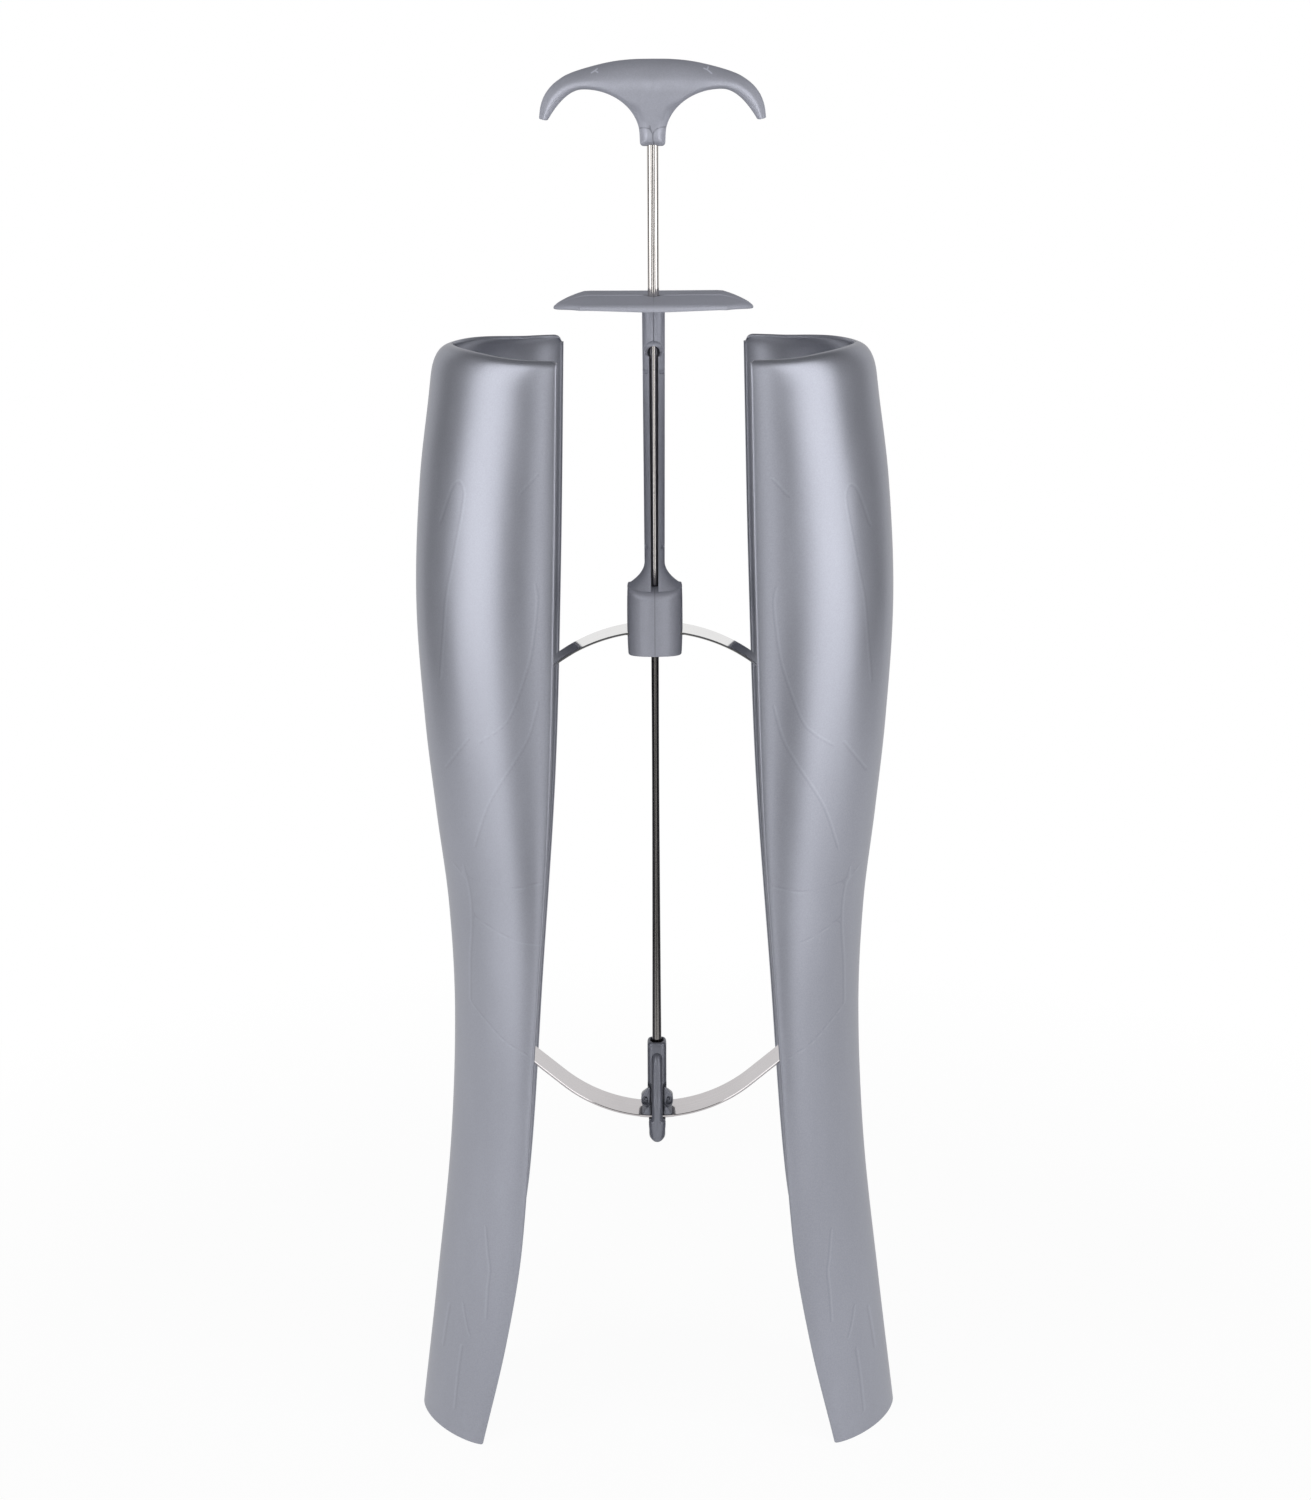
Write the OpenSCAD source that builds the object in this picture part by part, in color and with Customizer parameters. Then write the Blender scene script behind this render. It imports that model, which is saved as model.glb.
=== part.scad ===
// Boot shaper. Two moulded half shells fill a boot shaft. Two bowed spring
// strips hold them apart, one hung from a sliding finger plate and one from a
// clip at the foot of a steel rod. Squeezing the plate up to the handle
// deepens both bows and draws the shells together.
// Millimetres, +Z up, the shells stand on z = 0 and the rod is the Z axis.

/* [Shells] */
// Height of a shell from its foot to its top rim
shell_len = 408.5; // [390:0.5:420]
// Thickness of the shell wall
shell_wall = 2.2; // [1.8:0.1:2.8]
// Rod axis to the outside of the shell at the foot
foot_x = 91.2; // [88:0.2:95]
// Rod axis to the outside of the shell at the ankle
ankle_x = 75.3; // [74:0.1:79]
// Rod axis to the outside of the shell at the calf
calf_x = 85.4; // [84:0.2:90]
// Rod axis to the outside of the shell at the top, before the shoulder
rim_x = 76.6; // [74.6:0.2:80]
// Rod axis to the open edge of the shell at the foot
gap_foot_x = 67; // [64:0.5:70]
// Rod axis to the open edge of the shell at the ankle
gap_ankle_x = 44.4; // [42:0.2:46]
// Rod axis to the open edge of the shell at the top
gap_top_x = 33.2; // [31:0.2:36]
// Half the depth of a shell, front to back, at the foot
foot_y = 35; // [32:0.5:38]
// Half the depth of a shell, front to back, at the calf
calf_y = 37.5; // [34:0.5:41]
// Height of the rounded shoulder under the top rim
shoulder_h = 11; // [8:0.5:14]
// How far the shoulder turns in at the outer side
shoulder_in_x = 7; // [5:0.5:9]
// How far the shoulder turns in at the front and the back
shoulder_in_y = 3.5; // [2.5:0.1:5]
// Thickness of the moulded lugs that hold a hinge pin
lug_t = 3; // [2:0.2:4]
// Radius of a lug round its hinge pin
lug_r = 4.2; // [3.6:0.1:5]

/* [Spring strips] */
// Width of both strips
strip_w = 15; // [12:0.5:16]
// Thickness of both strips
strip_t = 0.8; // [0.6:0.05:1.2]
// Height of the top of the upper bow above the underside of the block
upper_seat = 9.1; // [8:0.1:11]
// Radius of the upper bow
upper_bow_r = 60; // [56:1:66]
// Angle at which the upper strip runs straight on into the shell
upper_lead = 36.9; // [34:0.1:39]
// Radius of the lower bow
lower_bow_r = 54; // [50:1:60]
// Angle at which the lower strip runs straight on into the shell
lower_lead = 40.4; // [37:0.1:43]
// Height between the crowns of the two bows
bow_span = 186.8; // [182:0.1:192]
// Rod axis to the upper hinge pins
upper_pin_x = 75.5; // [72:0.5:77]
// Rod axis to the lower hinge pins
lower_pin_x = 67; // [65:0.5:68]
// Radius of the hinge pins
pin_r = 1.5; // [1.2:0.1:1.8]

/* [Rod] */
// Radius of the rod
rod_r = 2; // [1.75:0.05:2.4]
// Depth of the rod in the handle
rod_grip = 20; // [14:0.5:21]
// Running clearance of the slider on the rod, per side
slide_clear = 0.06; // [0.02:0.01:0.1]

/* [Slider] */
// Free height between the shell rims and the finger plate
rim_gap = 14.5; // [12:0.5:20]
// Thickness of the finger plate
plate_t = 2.6; // [2:0.1:4]
// Width of the finger plate across its drooping tips
plate_w = 69.6; // [62:0.2:76]
// Depth of the finger plate, front to back
plate_d = 42; // [36:0.5:48]
// Width of the straight front edge of the finger plate
plate_edge_w = 50; // [44:0.5:54]
// How far the tips of the finger plate droop
plate_droop = 2.3; // [1:0.1:3]
// Height from the underside of the block to the top of the plate
slider_len = 126.2; // [120:0.2:132]
// Radius of the guide tube under the plate
tube_r = 4; // [3.6:0.05:4.6]
// Radius of the guide tube where it meets the block
tube_foot_r = 3.6; // [3.4:0.05:4]
// Height of the closed part of the tube, plate top to the mouth
mouth_drop = 16.9; // [12:0.1:22]
// Width of the block
block_w = 20; // [18:0.2:21]
// Depth of the block
block_d = 18.6; // [18:0.1:20]
// Height of the block to the edge under its flare
block_h = 23.8; // [22:0.1:26]
// Height of the concave flare from the block up to the tube
flare_h = 9; // [7:0.5:11]

/* [Handle] */
// Free height between the finger plate and the handle neck
squeeze_gap = 51.6; // [48:0.1:56]
// Width of the handle across its tips
handle_w = 77.6; // [72:0.2:82]
// Height of the handle from the neck end to the crown
handle_h = 29.1; // [27:0.1:31]
// How far the tips hang under the crown
handle_fall = 19.5; // [17:0.5:21]
// Depth of the handle, front to back
handle_d = 24; // [20:0.5:28]
// Width of the neck at its lower end
neck_w = 8.7; // [7.6:0.1:10]
// Depth of the neck at its lower end
neck_d = 10.4; // [9:0.1:12]

/* [Clip] */
// Height of the clip sleeve above the crown of the lower bow
clip_up = 28.4; // [26:0.1:31]
// Depth of the clip nose under the crown of the lower bow
clip_down = 13.4; // [11:0.1:16]
// Width of the clip sleeve
clip_w = 7.1; // [6.6:0.1:8]
// Thickness of the yoke bars beside the strip
bar_t = 2.6; // [2.2:0.1:3.2]
// Width of the rounded bars in front of and behind the sleeve
bar_w = 4.5; // [4:0.1:5]
// Width across the two ears that stand on the strip
ear_w = 12.9; // [12:0.1:14]
// Radius of the drive pin that holds the rod in the clip
drive_r = 0.75; // [0.6:0.05:1]

/* [Hidden] */
$fn = 64;

// Gap between pieces of one body that seat on each other
seat = 0.02;
// Gap between the pieces of different bodies beside a strip
side_gap = 0.3;
// Gap between the strip ends and the block or the clip that holds the middle
end_gap = 0.15;
// Radial clearance of a strip eye on its pin and of the strip middle on the rod
eye_clear = 0.06;
strip_rod_clear = 0.4;

plate_top_z = shell_len + rim_gap + plate_t;
block_z = plate_top_z - slider_len;
upper_z = block_z + upper_seat;
lower_z = upper_z - bow_span;
neck_z = plate_top_z + squeeze_gap;
crown_z = neck_z + handle_h;
clip_top_z = lower_z + clip_up;
clip_foot_z = lower_z - clip_down;
mouth_z = plate_top_z - mouth_drop;
edge_z = block_z + block_h;
drive_z = clip_top_z - 5.6;
slide_r = rod_r + slide_clear;
eye_mid_r = pin_r + eye_clear + strip_t / 2;
lug_y = strip_w / 2 + side_gap;
pin_len = 2 * (lug_y + lug_t);

// Smooth curve through a short list of points [position, value]
function span_at(p, s, i = 0) =
  (i >= len(p) - 2 || s < p[i + 1][0]) ? i : span_at(p, s, i + 1);
function rise_at(p, i) =
  let (a = max(i - 1, 0), b = min(i + 1, len(p) - 1))
  (p[b][1] - p[a][1]) / (p[b][0] - p[a][0]);
function curve_at(p, s) =
  let (
    i = span_at(p, s),
    h = p[i + 1][0] - p[i][0],
    t = (s - p[i][0]) / h,
    a = rise_at(p, i) * h,
    b = rise_at(p, i + 1) * h
  )
  p[i][1] * (2 * pow(t, 3) - 3 * t * t + 1) + a * (pow(t, 3) - 2 * t * t + t)
  + p[i + 1][1] * (3 * t * t - 2 * pow(t, 3)) + b * (pow(t, 3) - t * t);

function mix(a, b, t) = a + (b - a) * t;
function power(v, e) = sign(v) * pow(abs(v), e);

// Ring of a superellipse with half sizes a and b at height z, squarer as k grows
function oval(a, b, k, z, n = 32) =
  [for (i = [0:n - 1]) let (f = 360 * i / n)
    [a * power(cos(f), 2 / k), b * power(sin(f), 2 / k), z]];

// Solid through rings of equal count, each counter-clockwise seen from the end
module loft(rings) {
  n = len(rings[0]);
  m = len(rings);
  polyhedron(
    points = [for (r = rings) each r],
    faces = concat(
      [[for (i = [0:n - 1]) i]],
      [for (k = [0:m - 2], i = [0:n - 1]) let (j = (i + 1) % n)
        each [[k * n + i, (k + 1) * n + i, k * n + j],
              [k * n + j, (k + 1) * n + i, (k + 1) * n + j]]],
      [[for (i = [n - 1:-1:0]) (m - 1) * n + i]]
    ),
    convexity = 6
  );
}

// Flat outline drawn in X and Z, made a slab of depth d centred on y = 0
module slab(d) {
  rotate([90, 0, 0]) linear_extrude(d, center = true) children();
}

// Flat outline drawn in Y and Z, made a slab of width w centred on x = 0
module side_slab(w) {
  rotate([90, 0, 90]) linear_extrude(w, center = true) children();
}

module both_sides() {
  children();
  mirror([1, 0, 0]) children();
}

// Outer side of a shell and its open edge, by height as a share of its length
side_line = [
  [0, foot_x], [0.13, mix(foot_x, ankle_x, 0.42)],
  [0.27, mix(foot_x, ankle_x, 0.83)], [0.4, ankle_x],
  [0.5, mix(ankle_x, calf_x, 0.12)], [0.585, mix(ankle_x, calf_x, 0.48)],
  [0.67, mix(ankle_x, calf_x, 0.8)], [0.78, calf_x],
  [0.885, mix(calf_x, rim_x, 0.27)], [0.97, mix(calf_x, rim_x, 0.8)],
  [1, rim_x]
];
edge_line = [
  [0, gap_foot_x], [0.1, mix(gap_foot_x, gap_ankle_x, 0.42)],
  [0.2, mix(gap_foot_x, gap_ankle_x, 0.72)],
  [0.4, gap_ankle_x], [0.6, mix(gap_ankle_x, gap_top_x, 0.54)],
  [0.8, mix(gap_ankle_x, gap_top_x, 0.82)], [1, gap_top_x]
];
depth_line = [
  [0, foot_y], [0.4, mix(foot_y, calf_y, 0.2)], [0.75, calf_y], [1, calf_y]
];
// Roundness of a cross-section: a lens at the foot, fuller at the calf
round_line = [[0, 1.35], [0.45, 1.5], [0.8, 1.75], [1, 1.75]];
lens_power = 0.6;
shell_steps = 20;
shoulder_steps = 5;
ring_steps = 22;

// Turn-in of the shoulder at height z for a rise h that ends at height top
function turn_in(z, top, h) =
  let (e = min(max((z - top + h) / h, 0), 1)) 1 - sqrt(1 - e * e);

// Half ring of a shell at height z: x_side is the outer side, y_side the depth
function shell_ring(z, x_side, y_side, x_open) =
  let (s = min(max(z / shell_len, 0), 1), x0 = curve_at(edge_line, s),
    p = curve_at(round_line, s))
  [for (i = [0:ring_steps]) let (f = -90 + 180 * i / ring_steps)
    [i == 0 || i == ring_steps ? x0 - x_open
       : x0 + (x_side - x0) * pow(cos(f) * cos(f), 1 / p),
     y_side * power(sin(f), 2 * lens_power), z]];

function outer_ring(z) =
  let (s = z / shell_len, e = turn_in(z, shell_len, shoulder_h))
  shell_ring(z, curve_at(side_line, s) - shoulder_in_x * e,
    curve_at(depth_line, s) - shoulder_in_y * e, 0);

function hollow_ring(z) =
  let (s = min(max(z / shell_len, 0), 1),
    e = turn_in(z, shell_len - shell_wall, shoulder_h - shell_wall))
  shell_ring(z, curve_at(side_line, s) - shell_wall - (shoulder_in_x - shell_wall) * e,
    curve_at(depth_line, s) - shell_wall - (shoulder_in_y - shell_wall) * e, 2);

body_z = [for (i = [0:shell_steps]) (shell_len - shoulder_h) * i / shell_steps];

module shell_form() {
  shoulder_z = [for (i = [1:shoulder_steps])
    shell_len - shoulder_h * (1 - sin(90 * i / shoulder_steps))];
  loft([for (z = concat(body_z, shoulder_z)) outer_ring(z)]);
}

module shell_hollow() {
  inner_z = [for (i = [1:shoulder_steps])
    shell_len - shell_wall - (shoulder_h - shell_wall) * (1 - sin(90 * i / shoulder_steps))];
  loft([for (z = concat([-1], body_z, inner_z, [shell_len + 1])) hollow_ring(z)]);
}

// Centre of a hinge pin as [x, z]. bend is -1 for a bow that falls to the
// sides and +1 for one that rises
function pin_at(r, lead, pin_x, bend, z) =
  let (e = run_from(r, lead), s = run_len(r, lead, pin_x),
    fall = -(e[1] - s * sin(lead) - cos(lead) * eye_mid_r))
  [pin_x, z + bend * fall - (bend > 0 ? strip_t : 0)];

// Middle of the strip where its bow ends, from the crown of the bow
function run_from(r, lead) =
  let (m = r - strip_t / 2) [m * sin(lead), m * cos(lead) - r];

// Length of the straight run from there to the rolled eye
function run_len(r, lead, pin_x) =
  (pin_x - run_from(r, lead)[0] + sin(lead) * eye_mid_r) / cos(lead);

upper_pin = pin_at(upper_bow_r, upper_lead, upper_pin_x, -1, upper_z);
lower_pin = pin_at(lower_bow_r, lower_lead, lower_pin_x, 1, lower_z);

module lug(at) {
  for (s = [-1, 1])
    translate([0, s * (lug_y + lug_t / 2), 0])
      slab(lug_t) {
        translate(at) circle(r = lug_r);
        translate([at[0], at[1] - lug_r]) square([foot_x - at[0], 2 * lug_r]);
      }
}

module pin_bore(at) {
  translate([at[0], 0, at[1]])
    rotate([90, 0, 0])
      cylinder(r = pin_r + seat, h = pin_len + 1, center = true);
}

// One half shell with the lugs moulded inside it. Its open side faces the rod
module shell() {
  difference() {
    shell_form();
    difference() {
      shell_hollow();
      lug(upper_pin);
      lug(lower_pin);
    }
    pin_bore(upper_pin);
    pin_bore(lower_pin);
  }
}

module shell_right() { color("#9a9ca6") shell(); }

module shell_left() { color("#9a9ca6") mirror([1, 0, 0]) shell(); }

module hinge_pins() {
  for (at = [upper_pin, lower_pin])
    translate([at[0], 0, at[1]])
      rotate([90, 0, 0])
        cylinder(r = pin_r, h = pin_len, center = true);
}

module hinge_pins_right() { color("#c8c8ca") hinge_pins(); }

module hinge_pins_left() { color("#c8c8ca") mirror([1, 0, 0]) hinge_pins(); }

// Outline of the bow between angles a and b, crown at the origin, falling
module bow(r, a, b, grow = 0) {
  far = 3 * r;
  translate([0, -r])
    intersection() {
      difference() {
        circle(r = r + grow, $fn = 128);
        circle(r = r - strip_t - grow, $fn = 128);
      }
      polygon([[0, 0], [far * sin(a), far * cos(a)], [far * sin(b), far * cos(b)]]);
    }
}

// Outline of one arm of a strip: its bow, its straight run and its rolled eye
module arm(r, lead, start_x, pin_x) {
  e = run_from(r, lead);
  s = run_len(r, lead, pin_x);
  bow(r, asin(start_x / r), lead);
  translate(e) rotate(-lead) translate([-0.01, -strip_t / 2]) square([s + 0.01, strip_t]);
  difference() {
    translate(e) rotate(-lead) translate([s, -eye_mid_r]) circle(r = eye_mid_r + strip_t / 2);
    translate(e) rotate(-lead) translate([s, -eye_mid_r]) circle(r = eye_mid_r - strip_t / 2);
  }
}

module upper_arm() {
  translate([0, 0, upper_z])
    slab(strip_w) arm(upper_bow_r, upper_lead, block_w / 2 + end_gap, upper_pin_x);
}

module lower_arm() {
  translate([0, 0, lower_z - strip_t])
    mirror([0, 0, 1])
      slab(strip_w) arm(lower_bow_r, lower_lead, ear_w / 2 + end_gap, lower_pin_x);
}

module upper_spring_right() { color("#d8d8da") upper_arm(); }

module upper_spring_left() { color("#d8d8da") mirror([1, 0, 0]) upper_arm(); }

module lower_spring_right() { color("#c7c5c5") lower_arm(); }

module lower_spring_left() { color("#c7c5c5") mirror([1, 0, 0]) lower_arm(); }

// Middle of a strip out to half width x, pierced for the rod
module strip_middle(r, x) {
  a = asin(x / r);
  difference() {
    slab(strip_w) bow(r, -a, a);
    cylinder(r = rod_r + strip_rod_clear, h = strip_w, center = true);
  }
}

module upper_spring_middle() {
  color("#d8d8da")
    translate([0, 0, upper_z]) strip_middle(upper_bow_r, block_w / 2);
}

module lower_spring_middle() {
  color("#c7c5c5")
    translate([0, 0, lower_z - strip_t])
      mirror([0, 0, 1]) strip_middle(lower_bow_r, ear_w / 2);
}

// Outline of the rod end in the handle: two ring grooves keep it from pulling out
groove_d = 0.5;
groove_h = 2;
module rod_half(grow) {
  rod_top = neck_z + rod_grip;
  rod_foot = clip_foot_z + 4;
  r = rod_r + grow;
  g = r - groove_d;
  z1 = rod_top - 4 * groove_h;
  z2 = rod_top - 2 * groove_h;
  polygon([
    [0, rod_foot], [r, rod_foot], [r, z1], [g, z1], [g, z1 + groove_h],
    [r, z1 + groove_h], [r, z2], [g, z2], [g, z2 + groove_h], [r, z2 + groove_h],
    [r, rod_top + grow], [0, rod_top + grow]
  ]);
}

module rod() {
  color("#d5d3d2")
    difference() {
      rotate_extrude() rod_half(0);
      translate([0, 0, drive_z])
        rotate([90, 0, 0]) cylinder(r = drive_r + seat, h = 3 * rod_r, center = true);
    }
}

// Sleeve depth at the drive pin, which ends just inside the sleeve
drive_len = 7.4;
module clip_pin() {
  color("#55565c")
    translate([0, 0, drive_z])
      rotate([90, 0, 0]) cylinder(r = drive_r, h = drive_len, center = true);
}

yoke_in = strip_w / 2 + 0.15;
yoke_out = yoke_in + bar_t;
slot_gap = 0.1;

// Rounding of the sleeve's top edges and half the sleeve's depth at the top
sleeve_round = 1.5;
sleeve_y = 3.9;

// Points of the arc that rounds a top edge of the sleeve at x, from angle a to b
function sleeve_arc(x, a, b) =
  [for (f = [a:-15:b])
    [x + sleeve_round * cos(f), clip_top_z - sleeve_round + sleeve_round * sin(f)]];

// Sleeve and nose of the clip seen from the front and from the side
module clip_front() {
  w = clip_w / 2;
  nose = w - 0.35;
  polygon(concat(
    sleeve_arc(-w + sleeve_round, 180, 90),
    sleeve_arc(w - sleeve_round, 90, 0),
    [[w + 0.2, lower_z + 10], [w + 0.2, lower_z], [w - 0.1, lower_z - 1.6],
      [nose, clip_foot_z + 6]],
    [for (f = [0:-15:-180]) [nose * cos(f), clip_foot_z + nose + nose * sin(f)]],
    [[-nose, clip_foot_z + 6], [-w + 0.1, lower_z - 1.6], [-w - 0.2, lower_z],
      [-w - 0.2, lower_z + 10]]
  ));
}

module clip_side() {
  n = 3;
  polygon(concat(
    sleeve_arc(sleeve_y - sleeve_round, 90, 0),
    [[sleeve_y + 0.2, clip_top_z - 5], [yoke_out - 1.2, lower_z + 6.5], [yoke_out, lower_z + 3]],
    [for (f = [0:-15:-90]) [yoke_out - n + n * cos(f), clip_foot_z + n + n * sin(f)]],
    [for (f = [-90:-15:-180]) [-yoke_out + n + n * cos(f), clip_foot_z + n + n * sin(f)]],
    [[-yoke_out, lower_z + 3], [-yoke_out + 1.2, lower_z + 6.5],
      [-sleeve_y - 0.2, clip_top_z - 5]],
    sleeve_arc(sleeve_round - sleeve_y, 180, 90)
  ));
}

// Bar that leaves the front of the sleeve, leans out over the edge of the strip
// and ends as a round upright beside the nose
module clip_bar() {
  r = bar_w / 2;
  upright_y = -(yoke_out - r + 0.5);
  low = clip_foot_z + 2;
  high = lower_z + 7;
  translate([0, upright_y, 0])
    rotate_extrude()
      polygon(concat(
        [[0, low]],
        [for (f = [-75:15:0]) [r * cos(f), low + r + r * sin(f)]],
        [for (f = [0:15:75]) [r * cos(f), high - r + r * sin(f)]],
        [[0, high]]
      ));
  side_slab(bar_w - 0.5)
    polygon([[upright_y - r + 0.3, high - r], [-sleeve_y - r / 2, clip_top_z - 7.4],
      [-sleeve_y + 0.5, clip_top_z - 5.6], [0, clip_top_z - 7], [0, lower_z + 1.5],
      [upright_y, lower_z + 1.5]]);
}

// Ear beside the sleeve that bears on the strip, with a round recess in each face
ear_x = 4.5;
ear_z = 5.2;
ear_d = 13.6;
module clip_ear() {
  e = ear_w / 2;
  base = lower_z + 0.05;
  difference() {
    slab(ear_d)
      polygon([[clip_w / 2 - 1, lower_z + 11.5], [e - 0.4, lower_z + 8],
        [e, lower_z + 5.2], [e - 1, lower_z + 3], [e, base], [clip_w / 2 - 1, base]]);
    for (s = [-1, 1])
      translate([ear_x, s * ear_d / 2, lower_z + ear_z])
        rotate([90, 0, 0]) cylinder(r = 1.5, h = 4, center = true);
  }
}

module clip() {
  color("#6f7078")
    difference() {
      union() {
        intersection() {
          slab(4 * yoke_out) clip_front();
          side_slab(3 * clip_w) clip_side();
        }
        clip_bar();
        mirror([0, 1, 0]) clip_bar();
        both_sides() clip_ear();
      }
      rotate_extrude() rod_half(seat);
      translate([0, 0, drive_z])
        rotate([90, 0, 0]) cylinder(r = drive_r + seat, h = 3 * yoke_out, center = true);
      translate([0, 0, lower_z - strip_t])
        mirror([0, 0, 1]) slab(2 * yoke_in)
          bow(lower_bow_r, -15, 15, slot_gap);
      for (x = [-1, 1], y = [-1, 1])
        translate([x * (clip_w / 2 - 0.4), y * 7.4, lower_z + 13.4])
          cube([1.4, 3, 2.2], center = true);
    }
}

// Plan of the finger plate: straight front and back, ends that bulge to the tips
module plate_plan() {
  a = plate_edge_w / 2;
  b = plate_d / 2;
  end = plate_w / 2 - a;
  right = [for (i = [-8:8]) [a + end * (1 - pow(abs(i / 8), 1.5)), b * i / 8]];
  left = [for (i = [8:-1:-8]) [-right[i + 8][0], right[i + 8][1]]];
  polygon(concat(right, left));
}

// Front view of the finger plate: flat in the middle, drooping and thinner at the tips
module plate_front() {
  a = plate_edge_w / 2 + 2;
  b = plate_w / 2 + 1;
  polygon([[-b, -plate_droop], [-a, 0], [a, 0], [b, -plate_droop],
    [b, -plate_droop - 0.55 * plate_t], [a - 2, -plate_t], [-a + 2, -plate_t],
    [-b, -plate_droop - 0.55 * plate_t]]);
}

// Side view of the finger plate: its long edges lean in towards the top
plate_lean = 0.9;
module plate_side() {
  b = plate_d / 2;
  low = -plate_droop - 1.5 * plate_t;
  polygon([[-b, -plate_t / 2], [-b + plate_lean, 0], [b - plate_lean, 0], [b, -plate_t / 2],
    [b, low], [-b, low]]);
}

module finger_plate() {
  translate([0, 0, plate_top_z])
    intersection() {
      translate([0, 0, -3 * plate_t]) linear_extrude(4 * plate_t) plate_plan();
      slab(1.5 * plate_d) plate_front();
      side_slab(1.5 * plate_w) plate_side();
    }
}

// Block with barrel sides that flares in to the foot of the guide tube
block_sides = [[0, 0.95], [0.2, 0.985], [0.5, 1], [0.85, 0.985], [0.96, 0.965], [1, 0.93]];
function block_ring(s) =
  let (g = curve_at(block_sides, s))
  oval(g * block_w / 2, g * block_d / 2, 5, block_z + s * block_h);
function flare_ring(s) =
  let (w = sqrt(1 - (1 - s) * (1 - s)))
  oval(mix(0.9 * block_w / 2, tube_foot_r, w), mix(0.9 * block_d / 2, tube_foot_r, w),
    mix(5, 2, w), edge_z + 0.4 + s * flare_h);

module block() {
  loft(concat(
    [for (s = [0, 0.04, 0.2, 0.5, 0.8, 0.92, 0.97, 1]) block_ring(s)],
    [for (s = [0, 0.03, 0.08, 0.16, 0.28, 0.44, 0.64, 0.84, 1]) flare_ring(s)]
  ));
}

// Open front of the guide tube: the rod lies in a channel under an arched mouth,
// with two small square notches in each lip
notch_w = 1.2;
notch_d = 1.8;
notch_drop = 8.6;
notch_rise = 14.6;
module channel() {
  foot = edge_z - 1;
  arch_z = mouth_z - slide_r;
  translate([0, -block_d, 0])
    slab(2 * block_d) {
      translate([0, arch_z]) circle(r = slide_r);
      translate([-slide_r, foot]) square([2 * slide_r, arch_z - foot]);
    }
  translate([0, -tube_r - 0.3, arch_z + 0.3])
    rotate([-90, 0, 0]) cylinder(r1 = tube_r - 0.2, r2 = slide_r, h = tube_r - 1.2);
  for (x = [-1, 1], z = [mouth_z - notch_drop, edge_z + notch_rise])
    translate([x * (slide_r + notch_w / 3), -tube_r, z])
      cube([notch_w, notch_d, notch_w], center = true);
}

module slider() {
  color("#7d7f88")
    difference() {
      union() {
        finger_plate();
        block();
        translate([0, 0, edge_z])
          cylinder(r1 = tube_foot_r, r2 = tube_r, h = plate_top_z - plate_t / 2 - edge_z);
      }
      translate([0, 0, block_z - 1]) cylinder(r = slide_r, h = slider_len + 2);
      channel();
      translate([0, 0, upper_z])
        slab(strip_w + 2 * slot_gap)
          bow(upper_bow_r, -15, 15, slot_gap);
    }
}

// Handle. t runs from one tip (-1) over the crown (0) to the other (1)
tip_x = handle_w / 2;
arch_x = 0.605 * tip_x;
arch_z = -0.515 * handle_fall;
neck_flare_h = 16;
function crown_at(t) = [tip_x * sin(90 * t), handle_fall * (cos(90 * t) - 1)];

// Underside of the arms: an arch on each side, level across the neck
function under_z(x) =
  x > arch_x ? arch_z - 0.067 * pow(x - arch_x, 2)
    : max(arch_z - 4.4, neck_flare(x));
function neck_flare(x) =
  arch_z - neck_flare_h
    * (1 - sqrt(max(0, 1 - pow((arch_x - x) / (arch_x - neck_w / 2), 2))));
function under_at(t) =
  let (x = (tip_x - 3.1) * abs(sin(90 * t))) [sign(t) * x, under_z(x)];

// Section of an arm at t: a high crown over a shallow underside, with an edge
// between them. c shrinks the last rings to round the tip off
arm_ring_n = 24;
function arm_ring(t, c = 1) =
  let (lo = under_at(t), hi = crown_at(t), keel = 0.15 + 0.2 * t * t,
    b = c * handle_d / 2 * (1 - 0.42 * t * t), mid = (lo + hi) / 2,
    down = [0, -1.1 * (1 - c)])
  [for (i = [0:arm_ring_n - 1]) let (f = 360 * i / arm_ring_n + 90,
      up = sin(f) >= 0,
      w = up ? keel + (1 - keel) * sin(f) : keel + keel * sin(f),
      y = up ? power(cos(f), 0.85) : power(cos(f), 1.25),
      p = mid + c * (lo + (hi - lo) * w - mid) + down)
    [p[0], b * y, p[1]]];

module arms() {
  ts = [for (i = [-13:13]) sin(90 * i / 13) * 0.985];
  loft(concat(
    [arm_ring(-1, 0.35), arm_ring(-1, 0.75)],
    [for (t = ts) arm_ring(t)],
    [arm_ring(1, 0.75), arm_ring(1, 0.35)]
  ));
}

module neck() {
  top = arch_z - 1.1;
  low = -handle_h;
  start = arch_z - neck_flare_h;
  shoulders = [for (i = [0:8]) mix(start, top, i / 8)];
  function half_w(z) =
    arch_x - (arch_x - neck_w / 2) * sqrt(max(0, 1 - pow((z - start) / neck_flare_h, 2)));
  loft(concat(
    [oval(neck_w / 2 - 1.1, neck_d / 2 - 1.1, 2.6, low),
     oval(neck_w / 2 - 0.3, neck_d / 2 - 0.3, 2.8, low + 0.5),
     oval(neck_w / 2, neck_d / 2, 2.8, low + 1.4)],
    [for (z = shoulders)
      oval(half_w(z), neck_d / 2 + 4.6 * pow((z - start) / neck_flare_h, 2), 2.4, z)]
  ));
}

// Square groove down the front and the back of the neck
neck_groove_w = 0.9;
neck_groove_h = 11;
module handle() {
  color("#7b7d86")
    difference() {
      translate([0, 0, crown_z]) {
        arms();
        neck();
      }
      rotate_extrude() rod_half(seat);
      for (y = [-1, 1])
        translate([-0.6, y * (neck_d / 2 + 0.3), neck_z])
          rotate([0, 0, 45]) cube([neck_groove_w, neck_groove_w, neck_groove_h], center = true);
    }
}

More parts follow.
